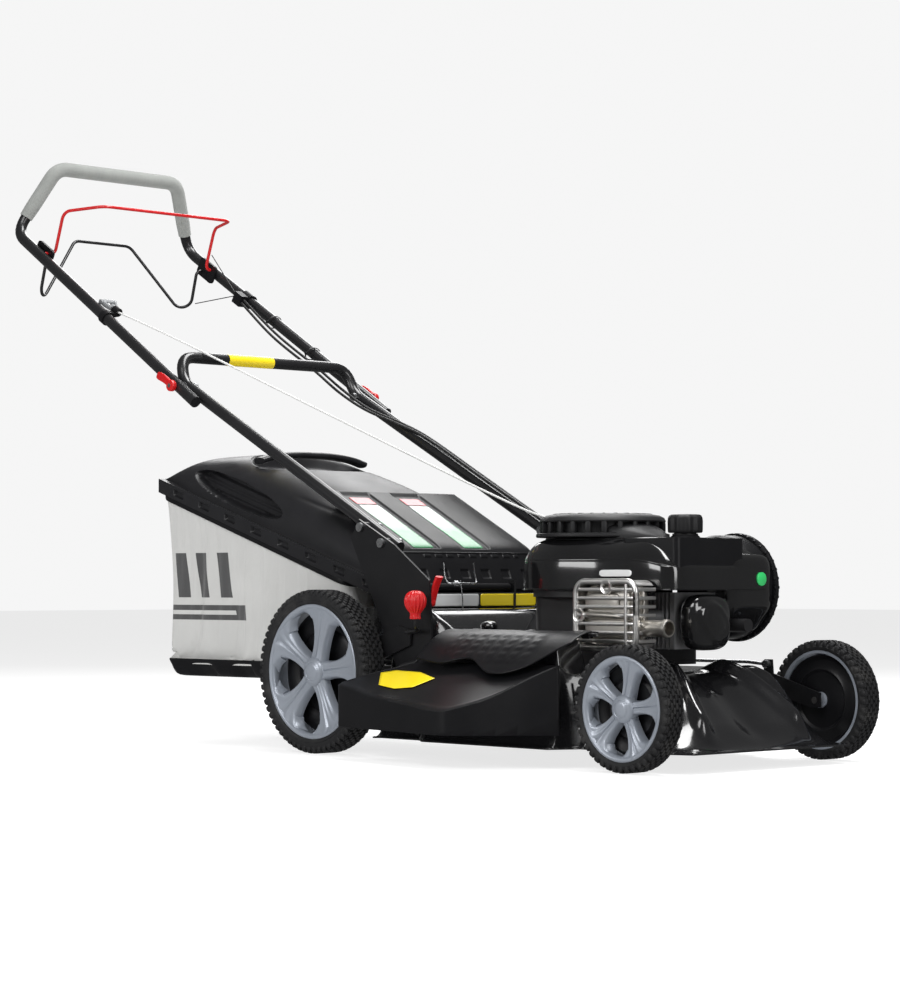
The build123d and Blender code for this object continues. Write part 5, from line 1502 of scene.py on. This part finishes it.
ROPE = rope_finish()
CABLE = finish_of("cable sheath", (0.020, 0.020, 0.021), (0.010, 0.010, 0.010), 0.42, 0.06, 1200, 0.05)


def tube_with_uv(line, radius, sides=14):
    """A swept tube and its UV: metres along, and share of the way round."""
    line = np.asarray(line, float)
    points, quads = swept(line, oval(radius, radius, sides), up=(0.02, 0.1, 1))
    length = np.concatenate([[0], np.cumsum(np.linalg.norm(np.diff(line, axis=0), axis=1))]) / 1000
    length = np.concatenate([length[:1], length, length[-1:]])
    round_ = 1 - np.abs(np.linspace(-1, 1, sides, endpoint=False))
    uv = np.stack(np.meshgrid(length, round_, indexing="ij"), axis=-1).reshape(-1, 2)
    return (points, quads), uv


def crossing(name, line, radius, finish, replaced=(), bodies=("chassis", "upper_handle")):
    """A tube that crosses a joint. It is made as a piece of the first body, then taken off it with its place kept; it
    doesn't bend, and the second body is not used.
    """
    shape, uv = tube_with_uv(line, radius)
    made = piece(name, shape, bodies[0], finish, replaced, uv=uv, sharp=80)
    world = made.matrix_world.copy()
    made.parent = None
    made.matrix_world = world
    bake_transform(made)
    return made


# %% Rope and cable routes
SAG = [(-701, -204, GUIDE[2]), (-690, -201.6, GUIDE[2] - 5), (-600, -183, 784.5), (-492, -161, 738.6),
       (-300, -121, 654),
       (-100, -80, 567), (80, -43, 489), (230, -12, 426), (292, 0, 406.2)]
crossing("starter_line", spline(SAG, 200), ROPE_R, ROPE, ["starter_rope"])
BACK = np.array((-np.cos(np.radians(31)), 0, np.sin(np.radians(31))))
crossing("starter_line_end", GUIDE + BACK * np.linspace(0, 40, 80)[:, None], ROPE_R, ROPE,
         bodies=("upper_handle", "starter_grip"))

CLAMP_X, OVER = -828.0, 17.81
brake = [(CLAMP_X + 13, 198, upper_z(CLAMP_X) - 10), (-700, 190, upper_z(-700) - 12), (-560, 182, upper_z(-560) - 4),
         (-480, 180, upper_z(-480) - 4), (-400, 180, lower_z(-400) + 1), (-320, 194, lower_z(-320) + 12),
         (-250, 206, lower_z(-250) + OVER), (-100, 206, lower_z(-100) + OVER), (60, 206, lower_z(60) + OVER),
         (140, 190, 372), (230, 146, 358), (328.2, 104, 340)]
drive = [(CLAMP_X + 13, 204, upper_z(CLAMP_X) - 4), (-700, 198, upper_z(-700) - 5), (-560, 190, upper_z(-560) + 2),
         (-480, 188, upper_z(-480) + 2), (-400, 187, lower_z(-400) + 4), (-320, 202, lower_z(-320) + 14),
         (-250, 214, lower_z(-250) + OVER), (-100, 214, lower_z(-100) + OVER), (80, 214, lower_z(80) + OVER),
         (150, 213, 370), (172, 208, 318), (162, 202, 250), (146, 198, 200), (132, 196, 152)]
crossing("brake_cable", spline(brake, 180), CABLE_R, CABLE, ["control_cables"])
crossing("drive_cable", spline(drive, 180), CABLE_R, CABLE)

# %% [markdown]
# Cable ties hold both cables to the tube. A tie is a flat loop round all three with a small block for its head.

# %% Cable ties
def make_tie(x, slope, height, y, spread):
    """A flat loop in the plane across the tube, drawn out on the inner side, and its head."""
    ring = oval(13.4, 13.4 + spread / 2, 40, 2.2)
    loop = np.stack([np.zeros(40), ring[:, 1], ring[:, 0]], axis=1)
    loop = np.concatenate([loop, loop[:3]])
    band = swept(loop, oval(0.8, 2.2, 8, 3), up=(1, 0, 0), capped=False)
    head = pillow((-3, -15.5 - spread / 2, -3), (3, -11.5 - spread / 2, 3), 5, 8, 16)
    return moved(together(band, head), (x, y - spread / 2, height), tilt_y(np.degrees(np.arctan(slope))))


upper_ties = together(*[make_tie(x, UPPER_SLOPE, upper_z(x), upper_y(x), 8) for x in (-740, -620)])
piece("upper_cable_ties", upper_ties, "upper_handle", GRAINED, sharp=60)

# %% [markdown]
# A plain yellow label is wrapped round the lower handle's cross bar, on the right of the middle.

# %% Cross bar label
bar_y = np.linspace(-96, 15, 24)
bar_line = np.stack([np.full(24, -492.0), bar_y, np.full(24, 724.0)], axis=1)
piece("cross_bar_label", swept(bar_line, oval(11.35, 11.35, 32), up=(0, 0, 1)), "chassis", YELLOW,
      sharp=60)
print("handle done")


# %% [markdown]
# ## Small parts by the flap
# A folded rail carries the hinge of the rear flap. Its front face has two blank labels, one white and one
# yellow. In front of it a sprung wire with two prongs holds the flap down on the bag. A bent wire is a line
# with small rounded corners, so it is a tube along a spline, with three turns of coil at its middle.

# %% Hinge rail and its labels
rail = pillow((97, -164, 251), (120.5, 139, 279), 7, 40, 60)
piece("flap_hinge_rail", rail, "chassis", ENAMEL, sharp=70)


def label_sheet(low, high, x):
    """A flat sheet facing forward, with its corners rounded by drawing each row in at the ends."""
    (y0, z0), (y1, z1) = low, high
    v = np.linspace(0, 1, 14)[:, None]
    u = np.linspace(0, 1, 40)[None, :]
    inset = 3 * (np.abs(2 * v - 1) ** 6)
    y = y0 + inset + (y1 - y0 - 2 * inset) * u
    z = np.broadcast_to(z0 + (z1 - z0) * v, y.shape)
    return grid(np.stack([np.full_like(y, x), y, z], axis=-1))


piece("rail_label_white", label_sheet((-158, 254.5), (-10, 276), 121.2), "chassis", WHITE_LABEL,
      wall=0.4)
piece("rail_label_yellow", label_sheet((-6, 254.5), (132, 276), 121.2), "chassis", YELLOW, wall=0.4)

# %% Flap spring
turns = np.linspace(0, 6 * np.pi, 60)
coil = np.stack([138 + 3.4 * np.cos(turns), -86 + turns * 0.5, 295 + 3.4 * np.sin(turns)], axis=1)
near_prong = [(131, -105, 331), (132, -104, 312), (136, -102, 298), (140, -96, 294.5), (141.4, -86, 295)]
far_prong = [(141.4, -76.6, 295), (139, -50, 294.6), (138, -36, 294.6), (135, -30, 299), (132, -31, 312),
             (131, -33, 331)]
wire = np.concatenate([spline(near_prong, 60), coil, spline(far_prong, 60)])
piece("flap_spring_wire", swept(wire, oval(1.5, 1.5, 10)), "rear_flap", ZINC, sharp=80)


# %% [markdown]
# A plug stands on the deck beside the hinge. It is a turned knob with a waist.

# %% Deck plug
plug_line = [(0, 0), (13, 0), (14, 2), (12, 5), (9, 9), (10, 13), (14, 17), (15, 22), (12.5, 27), (7, 30), (0, 31)]
plug = turned([(r, 200 + along) for r, along in spline([(*p, 0) for p in plug_line], 60)[:, :2]], (262, -120, 0), "z",
              96)
piece("deck_plug", plug, "chassis", GLOSS, sharp=70)

# %% [markdown]
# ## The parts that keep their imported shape
# Bails, plates, bolts, shafts and the blade are true as they are. Each gets the finish of its real maker's
# process.

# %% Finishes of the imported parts
FILTER_FOAM = mottled("filter foam", (0.10, 0.10, 0.09), (0.05, 0.05, 0.045), 0.9, 0.05, 900, 0.5).material
BLADE_STEEL = brushed("blade steel", (0.20, 0.20, 0.21), (0.10, 0.10, 0.105), 0.4, (6, 40, 40))
KEPT = {
    ENAMEL: ["discharge_tunnel"],
    PLATE_BLACK: ["handle_brackets", "rear_lift_arms", "front_lift_arms"],
    POWDER: ["height_lever", "drive_bail"],
    RED_PAINT: ["brake_bail"],
    ZINC: ["frame_bolts", "flap_hinges", "height_link", "blade_bolt"],
    STEEL: ["rear_axle", "front_axle", "crankshaft", "drive_pulley"],
    CAST_BLACK: ["crankcase"],
    CAST_BARE: ["cylinder", "gearbox", "blade_adapter", "flywheel"],
    GRAINED: ["fuel_tank", "bail_blocks", "handle_clips"],
    CABLE: ["bail_wires"],
    BELT_RUBBER: ["drive_belt"],
    CAP_PLASTIC: ["spark_plug"],
    FILTER_FOAM: ["air_filter_element"],
    BLADE_STEEL: ["blade"],
}
for finish, nodes in KEPT.items():
    for node in nodes:
        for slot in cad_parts[node].material_slots:
            slot.material = finish
hidden = [name for name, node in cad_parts.items() if node.hide_render]
left = sorted(set(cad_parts) - set(hidden) - {n for nodes in KEPT.values() for n in nodes})
print("packed parts shown without a finish of their own:", left)


# %% [markdown]
# ## Floor
# The floor is one large pale sheet under the wheels. It belongs to the studio.

# %% Floor
FLOOR = Finish("pale floor", Roughness=0.7, Emission_Strength=0.76, Emission_Color=(1.0, 1.0, 1.0, 1.0))
FLOOR.feed("Base Color", FLOOR.blend(FLOOR.noise(1.5, 2.0), (0.38, 0.38, 0.38), (0.42, 0.42, 0.42)))
floor_points = np.array([[(x, y, -0.4) for y in (-20000, 20000)] for x in (-20000, 20000)], float)
floor_mesh = bpy.data.meshes.new("floor")
floor_mesh.from_pydata(place(floor_points.reshape(-1, 3)).tolist(), [], [(0, 2, 3, 1)])
floor_mesh.materials.append(FLOOR.material)
floor = bpy.data.objects.new("floor", floor_mesh)
bpy.context.scene.collection.objects.link(floor)
floor.visible_glossy = False
